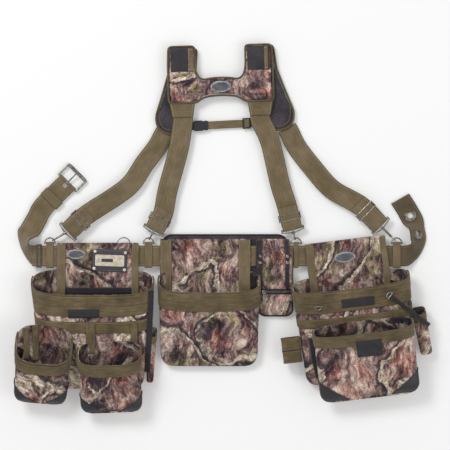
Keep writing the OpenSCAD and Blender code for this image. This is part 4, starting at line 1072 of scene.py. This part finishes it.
bmesh.ops.holes_fill(bm, edges=[e for e in bm.edges if e.is_boundary])
bm.to_mesh(pouch.data)
bm.free()
fit(pouch, "belt", "flat_pouch")
on_pouch = Ground("flat_pouch_cloth")


def pouch_binding(name, points, radius, material, flat):
    """Binding along the pouch's edge, halfway up its side."""
    p = resample(np.array(points, float), 3)
    z = [(np.interp(y, *zip(*FRONT)) + np.interp(y, *zip(*BACK))) / 2 + (1.5 if y < -136 else 0)
         for y in p[:, 1]]
    fit(tube(name, np.insert(p, 2, z, 1), radius, material, sides=10, flat=flat), "belt")


low_edge = [(P_LEFT + 1, -70)] + arc(P_LEFT + P_CORNER, P_LOW + P_CORNER, P_CORNER, 180, 270, 7)
low_edge += arc(P_RIGHT - P_CORNER, P_LOW + P_CORNER, P_CORNER, -90, 0, 7) + [(P_RIGHT - 1, -110)]
pouch_binding("pouch_low_binding", low_edge, 2.4, BLACK_TAPE, 1.7)
right_edge = [(P_RIGHT - 1, -108), (P_RIGHT - 1, 14), (P_RIGHT - 9, 23), (P_RIGHT - 9.5, 38)]
left_edge = [(P_LEFT + 1, -68), (P_LEFT + 1, -37), (P_LEFT - 4, -25), (P_LEFT - 4, -10), (P_LEFT - 3, 36)]
pouch_binding("pouch_right_binding", right_edge, 2.4, BINDING, 1.9)
pouch_binding("pouch_left_binding", left_edge, 2.2, BLACK_TAPE, 1.9)
ZIP_Y = -86
laid("zip_tape", patch_xy(mid_x + 1, ZIP_Y, 76, 13, cols=20, rows=5), on_pouch, BLACK_TAPE, "belt", "pouch_zip",
     lift=0.9, thick=0.8)
coil = lay(patch_xy(mid_x + 1, ZIP_Y, 72, 0, cols=60, rows=1), on_pouch, 1.3, 0)[0]
fit(tube("zip_coil", coil, 1.3, PLASTIC, sides=8), "belt")
for k in (-1, 1):
    stitches("zip_teeth_%d" % (k + 1), coil + (0, k * 1.1, 0.5), "belt", STEEL, pitch=1.9, radius=0.5)
    lip = patch_xy(mid_x, ZIP_Y + k * 8.5, 80, 3, cols=20, rows=4)
    laid("zip_lip_%d" % (k + 1), lip, on_pouch, CAMO_TWO, "belt", lift=1.5, thick=1.2, even=1)
STRAP_XS = (84.5, 149.5)
for i, x in enumerate(STRAP_XS):
    xy = path_xy([(x + 0.6, -80), (x - 0.3, -50), (x + 0.4, -20), (x, 8), (x, 37)], 9.5, rows=5, step=4)
    laid("snap_strap_%d" % i, xy, on_pouch, BLACK_TAPE, "belt", *["pouch_straps"] * (i == 0), lift=2.3)
for i, x in enumerate((104, 116)):
    seam = lay(path_xy([(x, 34), (x + 0.5, -20), (x, -74)], 0.0, rows=1, step=4), on_pouch, 0.25, 0)[0]
    stitches("channel_%d" % i, seam, "belt", pitch=3.6)
# profile of a snap: radius and height
SNAP = [(4.0, 0), (4.2, 0.5), (3.9, 1.2), (3.2, 1.6), (2.4, 1.7), (2.1, 1.3), (1.0, 1.2), (0.4, 1.25)]
for i, (x, y) in enumerate((x, y) for x in STRAP_XS for y in (-16, -1)):
    snap = lathe("snap_%d_%d" % (x, -y), move(x, y, on_pouch.at(x, y) + 2.2), SNAP, NICKEL)
    fit(snap, "belt", *["pouch_snaps"] * (i == 0))


# ---------------------------------------------------------------- badges, labels and loops
def oval_badge(name, place, a, b, body, node):
    fit(plate(name + "_rim", place, 2 * a, 2 * b, 0, 1.8, BADGE, edge=0.8, oval=True), body, node)
    fit(plate(name + "_field", place @ move(0, 0, 1.5), 2 * a - 6, 2 * b - 6, 0, 0.7, BADGE_FIELD, edge=0.3,
              oval=True), body)
    ring = np.insert(arc(0, 0, 0.78 * a, 0, 360, 60, 0.7 * b)[:-1], 2, 2.2, 1)
    fit(tube(name + "_ring", put(place, ring), 0.45, BADGE, closed=True, sides=6), body)


oval_badge("yoke_oval", yoke_place @ move(0, 4, 11.4), 25, 14, "harness", "yoke_badge")
on_left_panel = Ground("left_panel_cloth")
on_right_panel = Ground("right_panel_cloth")
oval_badge("left_oval", move(-358, 4, on_left_panel.at(-358, 4) + 0.1), 22, 12, "left_bag", "left_badge")
oval_badge("right_oval", move(288, -3, on_right_panel.at(288, -3) + 0.1) @ turn("z", 7), 25, 13, "right_bag",
           "right_badge")

left_inner = ("left_main_shell", "left_low_band")
left_cloth = left_inner + ("left_band_lower", "left_band_upper")
right_cloth = Ground("right_main_shell", "right_low_band", "right_band_lower", "right_band_upper")
front_cloth = Ground("right_front_shell", "right_front_band_lower")
for name, spot, ground, body, lift, thick in (
        ("left_label", (-337, -137.5, 74, 20, 1), Ground(*left_cloth), "left_bag", 1.4, 1.0),
        ("right_label", (317.4, -109.5, 78, 20, 7), right_cloth, "right_bag", 1.4, 1.0),
        ("front_patch", (343, -218, 60, 38, 7), front_cloth, "right_bag", 1.5, 1.2)):
    laid(name, patch_xy(*spot), ground, LABEL, body, lift=lift, thick=thick)
on_side, on_main = Ground(*left_inner, "left_side_shell"), Ground(*left_inner)
for i, (x, low, high, width, ground) in enumerate((
        (-475, -246, -172, 13, on_side), (-453, -250, -164, 14, on_side),
        (-322, -234, -160, 22, on_main), (-218, -226, -160, 16, on_main))):
    xy = path_xy([(x, low), (x + 1, (low + high) / 2), (x, high)], width, rows=6)
    laid("tool_loop_%d" % i, xy, ground, BAND, "left_bag", lift=3.0, thick=1.6, even=8)
hammer = path_xy([(-176, -82), (-178, -130), (-181, -180), (-184, -230), (-186, -279)], 13, rows=5)
under_hammer = Ground(*left_cloth, "left_sleeve_shell", "left_sleeve_hem")
laid("hammer_strap", hammer, under_hammer, BLACK_TAPE, "left_bag", lift=2.2, thick=1.6, even=14)
edge_tape = path_xy([(205, -196), (213, -245), (223, -292)], 11, rows=5)
laid("right_edge_tape", edge_tape, Ground("right_main_shell"), BLACK_TAPE, "right_bag", even=4)
loop = round_box(-181.2, -137.6, 11.2, 43.0, 7, 7)
for i, (low, high) in enumerate(((64, 93.5), (94.5, 124))):
    path = put(right_place, flat_path(loop + loop[:1], 4, 1, (low + high) / 2))
    fit(tape("side_loop_%d" % i, path, high - low, BAND, thick=1.8, side=right_place[:3, 1], crown=0.8),
        "right_bag", *["right_side_loop"] * (i == 0))
ring = arc(-243.5, 29, 15.5, 0, 180, 19, 15) + [(x, 27.5) for x in (-255, -243.5, -232)]
fit(tube("left_ring", np.insert(ring, 2, RING_Z, 1), 1.35, NICKEL, closed=True, sides=12), "left_bag")

# ---------------------------------------------------------------- tape holder
tape_place = move(-277, -11, on_left_panel.at(-277, -11) - 0.2) @ turn("z", -2)
fit(plate("tape_leather", tape_place, 84, 54, 7, 2.2, LEATHER, edge=0.9, crown=0.2), "left_bag", "tape_base")
line = np.array([[math.copysign(33, c) + 5.4 * c, math.copysign(18.4, s) + 5.4 * s, 2.35]
                 for c, s in arc(0, 0, 1, 0, 360, 80)])
stitches("tape_stitch", put(tape_place, line), "left_bag", pitch=3.4, slot="black_leather")

# ---------------------------------------------------------------- chest strap and lanyard
chest_clip = move(-86, 312, 7) @ turn("z", 3)
path = np.array([[x, 0, 0.5 * math.sin(x * 0.05)] for x in np.linspace(39, 153, 38)])
fit(tape("chest_webbing", put(chest_clip, path), 19, OLIVE, thick=2.0, side=chest_clip[:3, 1], shift=-1.0,
         crown=0.2), "chest_plug", "chest_strap")

lanyard_place = right_place @ move(88.69, 196.71, 60.72) @ turn("z", -134)
droop = [(0, 3.45 + y, z) for y, z in ((-1, 0), (30, 0), (64, -5), (92, -14), (116, -24))]
path = put(lanyard_place, resample(smooth_path(droop, 8), 4))
fit(tape("lanyard_web", path, 10, BLACK_TAPE, thick=1.6, side=lanyard_place[:3, 0], shift=-0.8), "lanyard",
    "lanyard")

# ---------------------------------------------------------------- frame pieces that keep their shape
FINISHES = {
    # the slider's nickel is painted darker, as its dark reflections
    SLIDER_NICKEL_PAINTED_DARK: ["belt_slider"],
    NICKEL: ["tongue_grommets", "buckle_frame", "buckle_roller", "buckle_prong", "zip_pull",
             "harness_rings", "strap_loops", "bag_rings"]
    + [kind + side for kind in ("slider_", "hook_", "gate_")
       for side in ("left_front", "left_back", "right_back", "right_front")],
    STEEL: ["tape_clip"],
    RIVET: ["tape_rivets"],
    PLASTIC: ["clip_socket", "clip_plug", "ladder_lock"]}
for material, names in FINISHES.items():
    for name in names:
        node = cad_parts[name]
        if not node.material_slots:
            node.data.materials.append(material)
        for s in node.material_slots:
            s.material = material

# ---------------------------------------------------------------- floor and light
floor_nodes = Finish("floor", roughness=0.9, specular=0.0)
floor_nodes.finish(Base_Color=tone(0.94))
seen = floor_nodes.add("LightPath", "Is Camera Ray")
glow = floor_nodes.add("Emission", Strength=floor_nodes.times(seen, 0.14))
both = floor_nodes.add("AddShader", i0=floor_nodes.shader.outputs[0], i1=glow)
floor_nodes.put(floor_nodes.tree.nodes["Material Output"].inputs["Surface"], both)
FLOOR_HALF = 3000
floor_corners = [(sx * FLOOR_HALF, sy * FLOOR_HALF, -1.0) for sx, sy in ((-1, -1), (1, -1), (1, 1), (-1, 1))]
floor = make("floor", floor_corners, [(0, 1, 2, 3)], floor_nodes.mat)
smooth_shaded(floor, False)

world = bpy.data.worlds.new("studio")
scene.world = world
world.use_nodes = True
sky = Nodes(world.node_tree)
light = world.node_tree.nodes["Background"]
light.inputs["Color"].default_value = (1, 1, 1, 1)
light.inputs["Strength"].default_value = 0.5
seen = sky.math("MAXIMUM", sky.add("LightPath", "Is Camera Ray"), sky.add("LightPath", "Is Glossy Ray"))
seen = sky.math("MAXIMUM", seen, sky.add("LightPath", "Is Transmission Ray"))
mixed = sky.add("MixShader", i0=seen, i1=light.outputs[0], i2=sky.add("Background", Strength=1.0))
sky.put(world.node_tree.nodes["World Output"].inputs["Surface"], mixed)


def lamp(name, place, power, size, target=(0, 0.07, 0)):
    data = bpy.data.lights.new(name, "AREA")
    data.energy = power
    data.size = size
    obj = bpy.data.objects.new(name, data)
    obj.location = place
    obj.rotation_euler = (Vector(place) - Vector(target)).to_track_quat("Z", "Y").to_euler()
    scene.collection.objects.link(obj)


lamp("key", (-2.6, 3.2, 4.4), 136, 2.0)
lamp("fill", (3.6, -1.6, 4.4), 52, 3.2)
scene.view_settings.view_transform = "Standard"
